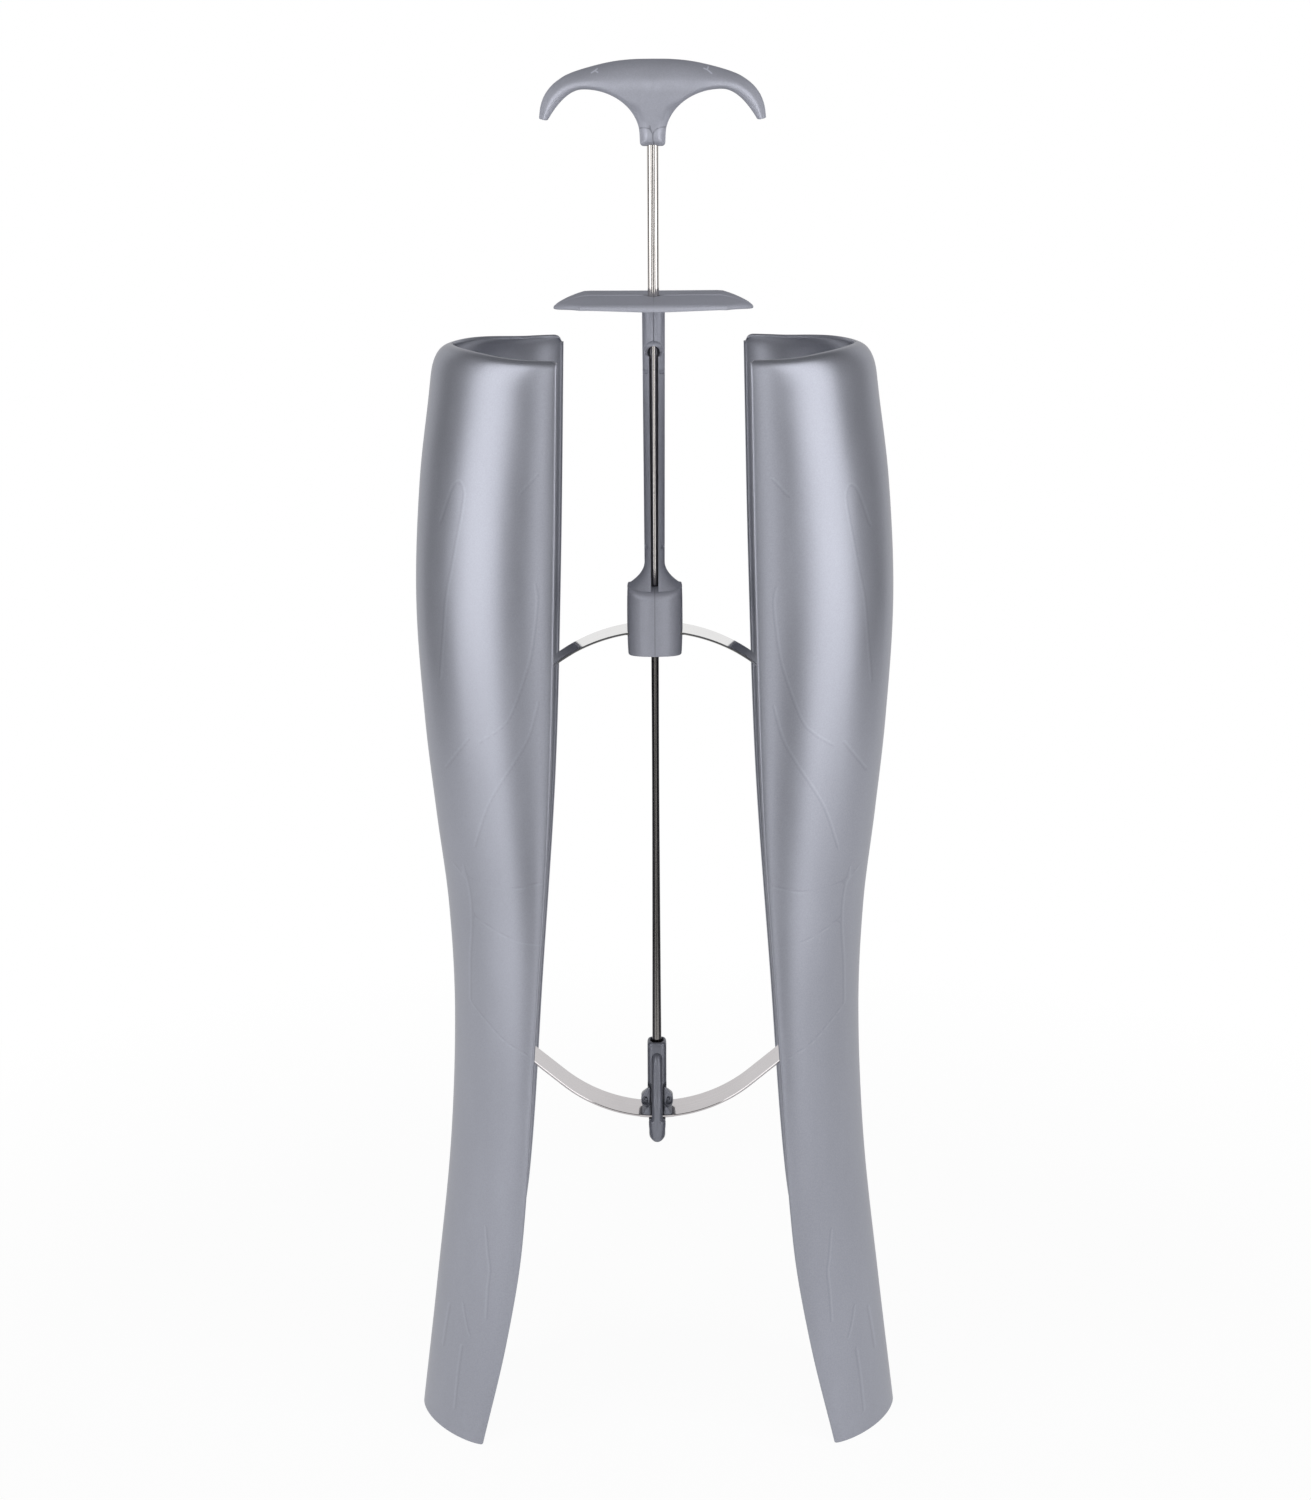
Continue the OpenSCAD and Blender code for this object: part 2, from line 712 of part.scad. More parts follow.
handle();
rod();
clip();
clip_pin();
lower_spring_middle();
lower_spring_left();
lower_spring_right();
slider();
upper_spring_middle();
upper_spring_left();
upper_spring_right();
shell_left();
shell_right();
hinge_pins_left();
hinge_pins_right();
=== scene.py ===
"""Boot shaper: two sprung half shells, a rod with a palm handle, and a sliding finger plate."""

from math import radians

import bmesh
import bpy
import numpy as np
from bpy.props import FloatProperty, FloatVectorProperty, PointerProperty
from mathutils import Matrix, Vector


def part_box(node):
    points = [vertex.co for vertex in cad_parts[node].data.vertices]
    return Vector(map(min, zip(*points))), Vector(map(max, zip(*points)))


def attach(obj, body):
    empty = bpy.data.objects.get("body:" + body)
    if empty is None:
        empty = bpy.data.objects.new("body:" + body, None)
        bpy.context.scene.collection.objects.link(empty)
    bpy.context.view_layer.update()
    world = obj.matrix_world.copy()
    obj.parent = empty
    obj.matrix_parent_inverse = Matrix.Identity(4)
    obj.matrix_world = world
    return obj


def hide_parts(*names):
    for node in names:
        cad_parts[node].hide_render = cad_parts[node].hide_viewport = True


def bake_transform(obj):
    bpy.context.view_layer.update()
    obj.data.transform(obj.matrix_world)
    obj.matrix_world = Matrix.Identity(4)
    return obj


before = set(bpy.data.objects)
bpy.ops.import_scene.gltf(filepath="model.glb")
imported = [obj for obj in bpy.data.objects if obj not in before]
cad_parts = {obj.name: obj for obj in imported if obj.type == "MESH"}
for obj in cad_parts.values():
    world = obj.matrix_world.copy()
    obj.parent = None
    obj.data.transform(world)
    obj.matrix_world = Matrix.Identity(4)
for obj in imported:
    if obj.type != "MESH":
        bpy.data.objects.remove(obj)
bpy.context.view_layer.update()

bl_info = {
    "name": "Boot shaper",
    "version": (1, 0, 0),
    "blender": (4, 5, 0),
    "location": "3D View > Sidebar > Boot shaper",
    "description": "Builds a boot shaper's shells, strips, slider, handle and clip on its frame",
    "category": "Add Mesh",
}

MM = 0.001


# Places that the frame gives, in millimetres

def frame_box(node):
    """Lowest and highest corner of a node of the frame, in millimetres."""
    low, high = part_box(node)
    return np.array(low) / MM, np.array(high) / MM


HANDLE_LOW, HANDLE_HIGH = frame_box("handle")
SLIDER_LOW, SLIDER_HIGH = frame_box("slider")
CLIP_LOW, CLIP_HIGH = frame_box("clip")
SHELL_LOW, SHELL_HIGH = frame_box("shell_right")
PINS_LOW, PINS_HIGH = frame_box("hinge_pins_right")
ROD_LOW, ROD_HIGH = frame_box("rod")
UPPER_HIGH = frame_box("upper_spring_middle")[1]
LOWER_LOW, LOWER_HIGH = frame_box("lower_spring_middle")

ROD_R = ROD_HIGH[0]
STRIP_W = 2 * UPPER_HIGH[1]
STRIP_T = 0.8
PIN_R = 1.5
# Room round a pin, so that the rolled eye also clears it at full squeeze
EYE_CLEAR = 0.16
UPPER_Z = UPPER_HIGH[2]
LOWER_Z = LOWER_LOW[2] + STRIP_T
UPPER_PIN = np.array([PINS_HIGH[0] - PIN_R, PINS_HIGH[2] - PIN_R])
LOWER_PIN = np.array([PINS_LOW[0] + PIN_R, PINS_LOW[2] + PIN_R])
SHELL_LEN = SHELL_HIGH[2]


# Sizes and colours that a user would change

def measure(name, what, default, low, high):
    """One size setting, in millimetres, or in degrees for a slope."""
    return FloatProperty(name=name, description=what, default=default, min=low, max=high)


class BootShaperSizes(bpy.types.PropertyGroup):
    """Sizes of the visible pieces that the frame doesn't fix, in millimetres"""
    wall: measure("Shell wall", "Thickness of the shell wall", 2.2, 1.8, 2.8)
    shoulder: measure("Shoulder height", "Rounded shoulder under the rim", 11.0, 8.0, 14.0)
    upper_bow: measure("Upper bow radius", "Radius of the upper strip's bow", 60.0, 56.0, 66.0)
    upper_lead: measure("Upper strip lead", "Slope of the upper strip's run", 36.9, 34.0, 39.0)
    lower_bow: measure("Lower bow radius", "Radius of the lower strip's bow", 54.0, 50.0, 60.0)
    lower_lead: measure("Lower strip lead", "Slope of the lower strip's run", 40.4, 37.0, 43.0)
    neck_width: measure("Neck width", "Width of the handle's neck", 8.7, 7.6, 10.0)
    neck_depth: measure("Neck depth", "Depth of the handle's neck", 10.4, 9.0, 12.0)
    tube: measure("Guide tube radius", "Radius of the tube under the plate", 4.0, 3.6, 4.6)


def colour(name, what, rgb):
    """One sRGB colour setting."""
    return FloatVectorProperty(name=name, description=what, subtype="COLOR_GAMMA", size=3,
                               default=rgb, min=0.0, max=1.0)


def from_hex(text):
    """sRGB values from 0 to 1 of a colour written as six hex digits."""
    return tuple(int(text[i:i + 2], 16) / 255 for i in (0, 2, 4))


def linear(rgb):
    """sRGB to the linear values that a shader takes, with alpha 1."""
    c = np.array(rgb[:3], float)
    low = c / 12.92
    high = ((c + 0.055) / 1.055) ** 2.4
    return (*np.where(c <= 0.04045, low, high).tolist(), 1.0)


class BootShaperColours(bpy.types.PropertyGroup):
    """Colours of the finishes"""
    shell: colour("Shell plastic", "Silver-grey moulded plastic of the shells", from_hex("999BA5"))
    grip: colour("Grip plastic", "Silver-grey plastic of handle and slider", from_hex("B0B2BD"))
    # The clip's grey is the silver plastic darkened as painted shade, for the shade of the shells
    # and of its own recesses
    clip: colour("Clip plastic", "Grey plastic of the clip", from_hex("7D7F88"))
    strip: colour("Spring strip", "Bright rolled spring steel", from_hex("DAD9D8"))
    foot_strip: colour("Lower strip", "Duller tempered spring steel", from_hex("BDB9BA"))
    rod: colour("Rod", "Bright drawn steel wire", from_hex("CCC8C5"))
    pin: colour("Pins", "Cut steel wire", from_hex("B5B5B8"))


# Mesh helpers: every shape is arrays of points in millimetres

def grid_faces(m, n, wrap_m=False, wrap_n=True):
    """Quads over an m by n grid of points, joined round in either direction when asked."""
    i = np.arange(m if wrap_m else m - 1)[:, None]
    j = np.arange(n if wrap_n else n - 1)[None, :]
    i2, j2 = (i + 1) % m, (j + 1) % n
    quads = np.stack([i * n + j, i * n + j2, i2 * n + j2, i2 * n + j], axis=-1)
    return quads.reshape(-1, 4).tolist()


def loft(rings, wrap_m=False):
    """Surface through rings of equal count, shape (rings, points, 3). Its ends are closed with flat
    faces, or it is joined end to end."""
    rings = np.asarray(rings, float)
    m, n, _ = rings.shape
    faces = grid_faces(m, n, wrap_m, True)
    if not wrap_m:
        faces.append(list(range(n - 1, -1, -1)))
        faces.append(list(range((m - 1) * n, m * n)))
    return outward(rings.reshape(-1, 3), faces)


def outward(points, faces):
    """Turns all faces round if they enclose a negative volume, which is the sum over fan triangles
    of a . (b x c) / 6."""
    total = 0.0
    quads = np.array([f for f in faces if len(f) == 4])
    if len(quads):
        a, b, c, d = (points[quads[:, k]] for k in range(4))
        total += np.einsum("ij,ij->i", a, np.cross(b, c)).sum()
        total += np.einsum("ij,ij->i", a, np.cross(c, d)).sum()
    for f in (f for f in faces if len(f) != 4):
        p = points[f]
        total += np.einsum("ij,ij->i", np.repeat(p[:1], len(f) - 2, 0),
                           np.cross(p[1:-1], p[2:])).sum()
    return points, faces if total > 0 else [f[::-1] for f in faces]


def mirrored(part):
    """The same surface on the other side of the plane x = 0."""
    points, faces = part
    return points * (-1, 1, 1), [f[::-1] for f in faces]


def piece(name, parts, material, crease=32, weld=0.002, marks=None):
    """One object from several surfaces: welds doubles, smooths the faces and keeps edges over the
    crease angle crisp. marks are values per point, kept as named attributes."""
    points = np.concatenate([p for p, _ in parts])
    starts = np.cumsum([0] + [len(p) for p, _ in parts])
    faces = [[v + s for v in f] for (_, fs), s in zip(parts, starts) for f in fs]
    mesh = bpy.data.meshes.new(name)
    mesh.from_pydata((points * MM).tolist(), [], faces)
    for key, values in (marks or {}).items():
        layer = mesh.attributes.new(key, "FLOAT", "POINT")
        layer.data.foreach_set("value", values.astype(np.float32))
    bm = bmesh.new()
    bm.from_mesh(mesh)
    bmesh.ops.remove_doubles(bm, verts=bm.verts, dist=weld * MM)
    bmesh.ops.dissolve_degenerate(bm, edges=bm.edges, dist=1e-8)
    bm.to_mesh(mesh)
    bm.free()
    mesh.shade_smooth()
    mesh.set_sharp_from_angle(angle=radians(crease))
    obj = bpy.data.objects.new(name, mesh)
    bpy.context.scene.collection.objects.link(obj)
    obj.data.materials.append(material)
    return obj


def superellipse(a, b, k, n=64):
    """Closed outline |x/a|^k + |y/b|^k = 1 by angle, shape (n, 2)."""
    t = np.arange(n) * 2 * np.pi / n
    c, s = np.cos(t), np.sin(t)
    return np.stack([a * np.sign(c) * abs(c) ** (2 / k), b * np.sign(s) * abs(s) ** (2 / k)], -1)


def smooth(x, low, high):
    """0 below low, 1 above high, and 3t^2 - 2t^3 between."""
    t = np.clip((np.asarray(x, float) - low) / (high - low), 0, 1)
    return t * t * (3 - 2 * t)


def mix(a, b, t):
    """Straight blend of a and b."""
    return a + (b - a) * t


def at_height(ring, z):
    """A flat ring of (x, y) points placed at height z, or at one height per point."""
    return np.column_stack([ring, np.broadcast_to(z, len(ring))])


def at_depth(ring, y):
    """A flat ring of (x, z) points placed at depth y."""
    return np.column_stack([ring[:, 0], np.full(len(ring), y), ring[:, 1]])


def inset(ring, d):
    """A closed (n, 2) outline moved inwards along its normals, by one distance or by one for each
    point, anticlockwise outlines only."""
    before, after = np.roll(ring, 1, 0), np.roll(ring, -1, 0)
    t = after - before
    normal = np.stack([t[:, 1], -t[:, 0]], -1) / np.linalg.norm(t, axis=1)[:, None]
    return ring - normal * np.reshape(d, (-1, 1))


def rounded(corners, r):
    """Closed outline through the corners with each one rounded by an arc: a quadratic curve from r
    before the corner to r after it."""
    c = np.array(corners, float)
    out = []
    for before, here, after in zip(np.roll(c, 1, 0), c, np.roll(c, -1, 0)):
        a, b = before - here, after - here
        la, lb = np.linalg.norm(a), np.linalg.norm(b)
        p = here + a / la * min(r, la * 0.45)
        q = here + b / lb * min(r, lb * 0.45)
        t = np.linspace(0, 1, 5)[:, None]
        out.append((1 - t) ** 2 * p + 2 * t * (1 - t) * here + t ** 2 * q)
    return np.concatenate(out)


def slab_xz(outline, y0, y1, edge):
    """Solid with the (x, z) outline between two depths, its rims rounded by edge."""
    ring = outline if area(outline) > 0 else outline[::-1]
    rows = []
    for y, d in ((y0, edge), (y0 + 0.3 * edge, 0.3 * edge), (y0 + edge, 0),
                 (y1 - edge, 0), (y1 - 0.3 * edge, 0.3 * edge), (y1, edge)):
        rows.append(at_depth(inset(ring, d), y))
    return loft(rows)


def area(ring):
    """Signed area of a closed outline."""
    x, y = ring[:, 0], ring[:, 1]
    return 0.5 * np.sum(x * np.roll(y, -1) - y * np.roll(x, -1))


def swept(path, normals, width, thickness):
    """Flat strip along an (n, 2) path in x and z: a rounded rectangle, width along y and thickness
    along the path's normals, carried from point to point."""
    w, t = width / 2, thickness / 2
    e = min(0.18, t * 0.9)
    section = np.array([(-w, -t + e), (-w + e, -t), (w - e, -t), (w, -t + e),
                        (w, t - e), (w - e, t), (-w + e, t), (-w, t - e)])
    rows = np.zeros((len(path), len(section), 3))
    rows[:, :, 0] = path[:, :1] + normals[:, :1] * section[None, :, 1]
    rows[:, :, 1] = section[None, :, 0]
    rows[:, :, 2] = path[:, 1:] + normals[:, 1:] * section[None, :, 1]
    return loft(rows)


# Materials

RANGE, MATH = "ShaderNodeMapRange", "ShaderNodeMath"
# Stretch of the rolling lines on the strips
ROLLED = (0.05, 8, 0.05)
# Painted light on the rod: towards the clip its colour is lightened again, from END_HIGH down to
# END_LOW, in metres
END_LOW, END_HIGH, END_PAINTED_LIGHT = 0.14, 0.19, 1.9


def new_material(name):
    """A material and its node tree, still empty."""
    material = bpy.data.materials.new(name)
    material.use_nodes = True
    material.node_tree.nodes.clear()
    return material, material.node_tree


def add(tree, kind, inputs=None, **settings):
    """One node. settings are its own properties. inputs are constants for its sockets, or links
    from other nodes: (node, output name), or a node alone for its first output."""
    node = tree.nodes.new(kind)
    for key, value in settings.items():
        setattr(node, key, value)
    for key, value in (inputs or {}).items():
        source, output = value if isinstance(value, tuple) and len(value) == 2 else (value, 0)
        if isinstance(source, bpy.types.Node):
            tree.links.new(source.outputs[output], node.inputs[key])
        else:
            node.inputs[key].default_value = value
    return node


def span(low, high, to_low, to_high):
    """Constants that carry the values from low to high over to those from to_low to to_high."""
    return {"From Min": low, "From Max": high, "To Min": to_low, "To Max": to_high}


def mottle(tree, per_mm, detail=2.0, rough=0.5, stretch=(1, 1, 1), offset=(0, 0, 0)):
    """Cloudy pattern on object coordinates, with a feature size in millimetres."""
    place = add(tree, "ShaderNodeTexCoord")
    scale = add(tree, "ShaderNodeMapping",
                {"Vector": (place, "Object"), "Scale": stretch, "Location": offset})
    return add(tree, "ShaderNodeTexNoise", {"Vector": scale, "Scale": 1 / (per_mm * MM),
                                            "Detail": detail, "Roughness": rough})


def surface(tree, rgb, factors, inputs):
    """Closes a material: its base colour is rgb times every factor, inputs are the shader's other
    inputs."""
    level = factors[0]
    for factor in factors[1:]:
        level = add(tree, MATH, {0: level, 1: factor}, operation="MULTIPLY")
    shade = add(tree, "ShaderNodeMix", {"Factor": 1.0, "A": linear(rgb), "B": level},
                data_type="RGBA", blend_type="MULTIPLY")
    shader = add(tree, "ShaderNodeBsdfPrincipled", {"Base Color": (shade, "Result"), **inputs})
    add(tree, "ShaderNodeOutputMaterial", {"Surface": shader})


def silver_moulding(name, rgb, metal, rough, blotch, line, skin, glance):
    """Metallic-filled plastic straight from the mould, polystyrene or ABS. Aluminium flake gives a
    soft wide sheen, faint blotches where the melt swirled, and a very fine grain. Moulding lines,
    which are real marks, are drawn as hair-thin pairs of a painted highlight on one side and
    painted shade on the other, line strong. Seams and scuffs show as thin dark or light lines, and
    the finger plate's ridge as a thin painted highlight, as strong as the surface's own line_tone
    says.
    skin is the gloss of the clear plastic over the flake, and glance the share of light that the
    flake still gives back at a glancing angle."""
    material, tree = new_material(name)
    # Flake is 0.05 mm on the real piece and is drawn at 0.5 mm so that it shows at all
    flake = mottle(tree, 0.5, 1.0)
    swirl = mottle(tree, 26, 3.0, 0.55, (1, 1, 0.35))
    cloud = mottle(tree, 90, 2.0, 0.5, (1, 1, 0.5), (0.3, 0.1, 0.7))
    factors = [add(tree, RANGE, {"Value": source, **span(low, high, 1 - swing, 1 + swing)})
               for source, low, high, swing in ((flake, 0.3, 0.7, 0.045),
                                                (swirl, 0.3, 0.7, 0.05 * blotch),
                                                (cloud, 0.35, 0.65, 0.035 * blotch))]
    # A thin line is at full strength up to 0.1 mm from its middle and gone at 0.34 mm
    near, drawn, side = ((add(tree, "ShaderNodeAttribute", attribute_name=f"line_{key}"), "Fac")
                         for key in ("near", "tone", "side"))
    thin = add(tree, RANGE, {"Value": near, **span(0.1, 0.34, 1.0, 0.0)})
    thin = add(tree, MATH, {0: thin, 1: drawn}, operation="MULTIPLY")
    factors.append(add(tree, MATH, {0: 1.0, 1: thin}, operation="ADD"))
    if line:
        # A moulding line is a real mark, drawn with a painted highlight on one side and painted
        # shade on the other, within 0.9 mm of it
        close = add(tree, RANGE, {"Value": near, **span(0.6, 1.1, 1.0, 0.0)})
        across = add(tree, RANGE, {"Value": side, **span(-0.9, 0.9, -1.0, 1.0)})
        off = add(tree, MATH, {0: across}, operation="ABSOLUTE")
        inner = add(tree, RANGE, {"Value": off, **span(0.0, 1.0, 1.0, 0.0)})
        painted_edge_pair = across
        for factor in (inner, close):
            painted_edge_pair = add(tree, MATH, {0: painted_edge_pair, 1: factor}, operation="MULTIPLY")
        factors.append(add(tree, RANGE, {"Value": painted_edge_pair, **span(-0.25, 0.25, 1 - line, 1 + line)}))
    gloss = add(tree, RANGE, {"Value": swirl, **span(0.3, 0.7, rough - 0.03, rough + 0.04)})
    peel = mottle(tree, 1.6, offset=(0.2, 0.5, 0.1))
    bump = add(tree, "ShaderNodeBump", {"Height": peel, "Strength": 0.12, "Distance": 0.00004})
    surface(tree, rgb, factors,
            {"Metallic": metal, "IOR": 1.55, "Specular IOR Level": skin, "Roughness": gloss,
             "Specular Tint": (glance, glance, glance, 1), "Normal": bump})
    return material


def bright_steel(name, rgb, rough, stretch, grain_mm):
    """Bright steel, rolled or cut: a clear mirror broken by hair-fine lines along its length, so
    reflections stay sharp along the piece and blur across it."""
    material, tree = new_material(name)
    # Draw lines are 0.02 mm apart on the real piece and are drawn as coarse as grain_mm
    lines, smear = mottle(tree, grain_mm, stretch=stretch), mottle(tree, 18)
    factors = [add(tree, RANGE, {"Value": lines, **span(0.3, 0.7, 0.97, 1.03)}),
               add(tree, RANGE, {"Value": smear, **span(0.35, 0.65, 0.97, 1.02)})]
    gloss = add(tree, RANGE, {"Value": lines, **span(0.3, 0.7, rough * 0.8, rough * 1.3)})
    bump = add(tree, "ShaderNodeBump", {"Height": lines, "Strength": 0.1, "Distance": 0.00001})
    surface(tree, rgb, factors, {"Metallic": 1.0, "Roughness": gloss, "Normal": bump})
    return material


def painted_shade_wire(name, rgb, rough, low, high, dark):
    """Bright drawn wire with painted shade: its colour is darkened by the factor dark up to the
    height low, in millimetres, and is full from high on. Its lowest part is lightened again by
    painted light.
    Draw lines along the wire are finer than the render shows."""
    material, tree = new_material(name)
    place = add(tree, "ShaderNodeTexCoord")
    height = (add(tree, "ShaderNodeSeparateXYZ", {"Vector": (place, "Object")}), "Z")
    factors = [add(tree, RANGE, {"Value": source, **span(*ends)}) for source, ends in (
        (height, (low * MM, high * MM, dark, 1.0)), (mottle(tree, 18), (0.35, 0.65, 0.95, 1.03)),
        (height, (END_LOW, END_HIGH, END_PAINTED_LIGHT, 1.0)))]
    surface(tree, rgb, factors, {"Metallic": 1.0, "Roughness": rough})
    return material


def finish(key):
    """The named finish, made once and then shared."""
    c = bpy.context.scene.boot_shaper_colours
    foot = SLIDER_LOW[2]
    made = {
        "shell": ("moulded_silver_polystyrene", silver_moulding,
                  (c.shell, 0.72, 0.33, 1.0, 0.09, 0.5, 0.75)),
        "grip": ("moulded_silver_abs", silver_moulding,
                 (c.grip, 0.32, 0.4, 0.8, 0.0, 0.0, 0.15)),
        # The clip's darker colour is painted shade from the shells and its recesses
        "clip": ("moulded_grey_nylon", silver_moulding,
                 (c.clip, 0.55, 0.32, 0.6, 0.0, 0.2, 0.5)),
        "strip": ("rolled_spring_steel", bright_steel, (c.strip, 0.07, ROLLED, 4.0)),
        "foot_strip": ("tempered_spring_steel", bright_steel, (c.foot_strip, 0.12, ROLLED, 4.0)),
        # The rod's colour carries painted shade below the slider's block and painted light near the
        # clip
        "rod": ("drawn_bright_wire", painted_shade_wire, (c.rod, 0.12, foot + 1, foot + 9, 0.2)),
        "pin": ("cut_steel_wire", bright_steel, (c.pin, 0.2, (1, 0.1, 1), 0.6)),
    }
    name, maker, settings = made[key]
    return bpy.data.materials.get(name) or maker(name, *settings)


def dress(node, key):
    """Gives a node of the frame its finish."""
    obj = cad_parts[node]
    obj.data.materials.clear()
    obj.data.materials.append(finish(key))


def sizes():
    """The sizes that the user may change."""
    return bpy.context.scene.boot_shaper_sizes


# Shells

SIDE_SHARE = [0, 0.13, 0.27, 0.4, 0.5, 0.585, 0.67, 0.78, 0.885, 0.97, 1]
EDGE_SHARE = [0, 0.1, 0.2, 0.4, 0.6, 0.8, 1]
FOOT_X, ANKLE_X, CALF_X, RIM_X = SHELL_HIGH[0], 75.3, 85.4, 76.6
GAP_FOOT_X, GAP_ANKLE_X, GAP_TOP_X = 67.0, 44.4, SHELL_LOW[0]
FOOT_Y, CALF_Y = 35.0, 37.5
SHOULDER_IN_X, SHOULDER_IN_Y = 6.5, 3.5
CORNER_R, FRONT_CORNER_R = 2.7, 0.8
SHOULDER_POWER, RIM_LIFT = 2.4, 1.6
LIFT_FROM_X, LIFT_FULL_X, LIFT_H = 44, 68, 24
MERIDIANS, WALL_STEPS, SHOULDER_STEPS = 129, 190, 22
# Rounding past an open edge: share of the wall's half thickness, and how far it stands out
EDGE_ROUND = ((0.92, 0.25), (0.7, 0.5), (0.35, 0.66), (0.0, 0.7))
LUG_R, LUG_W, LUG_GAP, LUG_SINK = 4.2, 3, 0.3, 1.2
SIDE_LINE = [FOOT_X, mix(FOOT_X, ANKLE_X, 0.42), mix(FOOT_X, ANKLE_X, 0.83), ANKLE_X,
             mix(ANKLE_X, CALF_X, 0.12), mix(ANKLE_X, CALF_X, 0.48), mix(ANKLE_X, CALF_X, 0.8),
             CALF_X, mix(CALF_X, RIM_X, 0.27), mix(CALF_X, RIM_X, 0.8), RIM_X]
EDGE_LINE = [GAP_FOOT_X, mix(GAP_FOOT_X, GAP_ANKLE_X, 0.42), mix(GAP_FOOT_X, GAP_ANKLE_X, 0.72),
             GAP_ANKLE_X, mix(GAP_ANKLE_X, GAP_TOP_X, 0.54), mix(GAP_ANKLE_X, GAP_TOP_X, 0.82),
             GAP_TOP_X]


def curve(shares, values, s):
    """Smooth curve through a few points: cubic pieces whose slope at each point is that of the line
    between its neighbours."""
    x, y = np.array(shares, float), np.array(values, float)
    slope = np.empty(len(x))
    slope[1:-1] = (y[2:] - y[:-2]) / (x[2:] - x[:-2])
    slope[0] = (y[1] - y[0]) / (x[1] - x[0])
    slope[-1] = (y[-1] - y[-2]) / (x[-1] - x[-2])
    s = np.clip(np.asarray(s, float), 0, 1)
    i = np.clip(np.searchsorted(x, s, side="right") - 1, 0, len(x) - 2)
    h = x[i + 1] - x[i]
    t = (s - x[i]) / h
    return (y[i] * (2 * t ** 3 - 3 * t ** 2 + 1) + slope[i] * h * (t ** 3 - 2 * t ** 2 + t)
            + y[i + 1] * (3 * t ** 2 - 2 * t ** 3) + slope[i + 1] * h * (t ** 3 - t ** 2))


def section(s):
    """Open edge, side and half depth of the outer face, and the power p of its round, at the share
    s of the shell's length."""
    depth = curve([0, 0.4, 0.75, 1], [FOOT_Y, mix(FOOT_Y, CALF_Y, 0.2), CALF_Y, CALF_Y], s)
    p = curve([0, 0.45, 0.8, 1], [1.35, 1.5, 1.75, 1.75], s)
    return curve(EDGE_SHARE, EDGE_LINE, s), curve(SIDE_SHARE, SIDE_LINE, s), depth, p


def shell_points(z, angle, turn, wall=0.0):
    """Points of the right shell at heights z and angles round it, both as arrays of one shape. The
    section is x = edge + (side - edge) cos(a)^(2/p), y = depth sin(a)^1.2, the shoulder turns in by
    turn from 0 to 1, and wall shrinks the section for the inner face."""
    edge, side, depth, p = section(z / SHELL_LEN)
    side = side - wall - (SHOULDER_IN_X - wall * 0.8) * turn
    depth = depth - wall - (SHOULDER_IN_Y - wall * 0.5) * turn
    c, sn = np.cos(angle), np.sin(angle)
    x = edge + (side - edge) * np.abs(c) ** (2 / p)
    y = depth * np.sign(sn) * np.abs(sn) ** 1.2
    return np.stack([x, y, z], -1)


def shell_wall():
    """One shell as a closed surface. Each meridian goes up the outer face, over the rounded rim,
    down the inner face and under the foot. The meridians run from one open edge to the other, and
    past each edge they close in a small round. The rim rises by RIM_LIFT towards its outer end, and
    its corners are rounded, the back one by CORNER_R and the front one by FRONT_CORNER_R."""
    wall, rise = sizes().wall, sizes().shoulder
    angle = np.radians(np.linspace(-90, 90, MERIDIANS))
    over = np.sin(np.radians(np.linspace(4, 88, SHOULDER_STEPS)))
    up = np.concatenate([np.linspace(0, SHELL_LEN - rise, WALL_STEPS),
                         SHELL_LEN - rise * (1 - over)])
    bend = np.clip((up - SHELL_LEN + rise) / rise, 0, 1) ** SHOULDER_POWER
    turn = 1 - np.maximum(0, 1 - bend) ** (1 / SHOULDER_POWER)
    outer = shell_points(*np.meshgrid(up, angle), turn[None, :])
    inner_up = np.minimum(up, SHELL_LEN - 0.9)
    inner = shell_points(*np.meshgrid(inner_up, angle), turn[None, :], wall)
    lip = []
    for a in np.radians([30, 60, 90, 120, 150]):
        middle = (outer[:, -1] + inner[:, -1]) / 2
        reach = (outer[:, -1] - inner[:, -1]) / 2
        p = middle + reach * np.cos(a)
        p[:, 2] = SHELL_LEN - 0.5 + 0.5 * np.sin(a)
        lip.append(p)
    loop = np.concatenate([outer, np.stack(lip, 1), inner[:, ::-1]], axis=1)
    half = loop.shape[1]
    ends = []
    for row in (loop[0], loop[-1]):
        middle = (row + row[::-1]) / 2
        reach = row - middle
        ends.append([middle + reach * k - (push, 0, 0) for k, push in EDGE_ROUND])
    grid = np.concatenate([np.stack(ends[0][::-1]), loop, np.stack(ends[1])], axis=0)
    high = smooth(grid[..., 2], SHELL_LEN - LIFT_H, SHELL_LEN - 2)
    grid[..., 2] += RIM_LIFT * smooth(grid[..., 0], LIFT_FROM_X, LIFT_FULL_X) * high
    corner = np.where(grid[..., 1] < 0, FRONT_CORNER_R, CORNER_R)
    near = np.clip(1 - (grid[..., 0] - GAP_TOP_X) / corner, 0, 1)
    share = np.clip((grid[..., 2] - SHELL_LEN + corner) / corner, 0, 1)
    grid[..., 2] -= corner * (1 - np.sqrt(1 - near ** 2)) * share
    return outward(grid.reshape(-1, 3), grid_faces(len(grid), half, False, True))


def wall_x(z, y):
    """Outer face of the right shell at height z and depth y, solved from the section's formula."""
    edge, side, depth, p = section(z / SHELL_LEN)
    sn = (abs(y) / depth) ** (1 / 1.2)
    return edge + (side - edge) * (1 - sn ** 2) ** (1 / p)


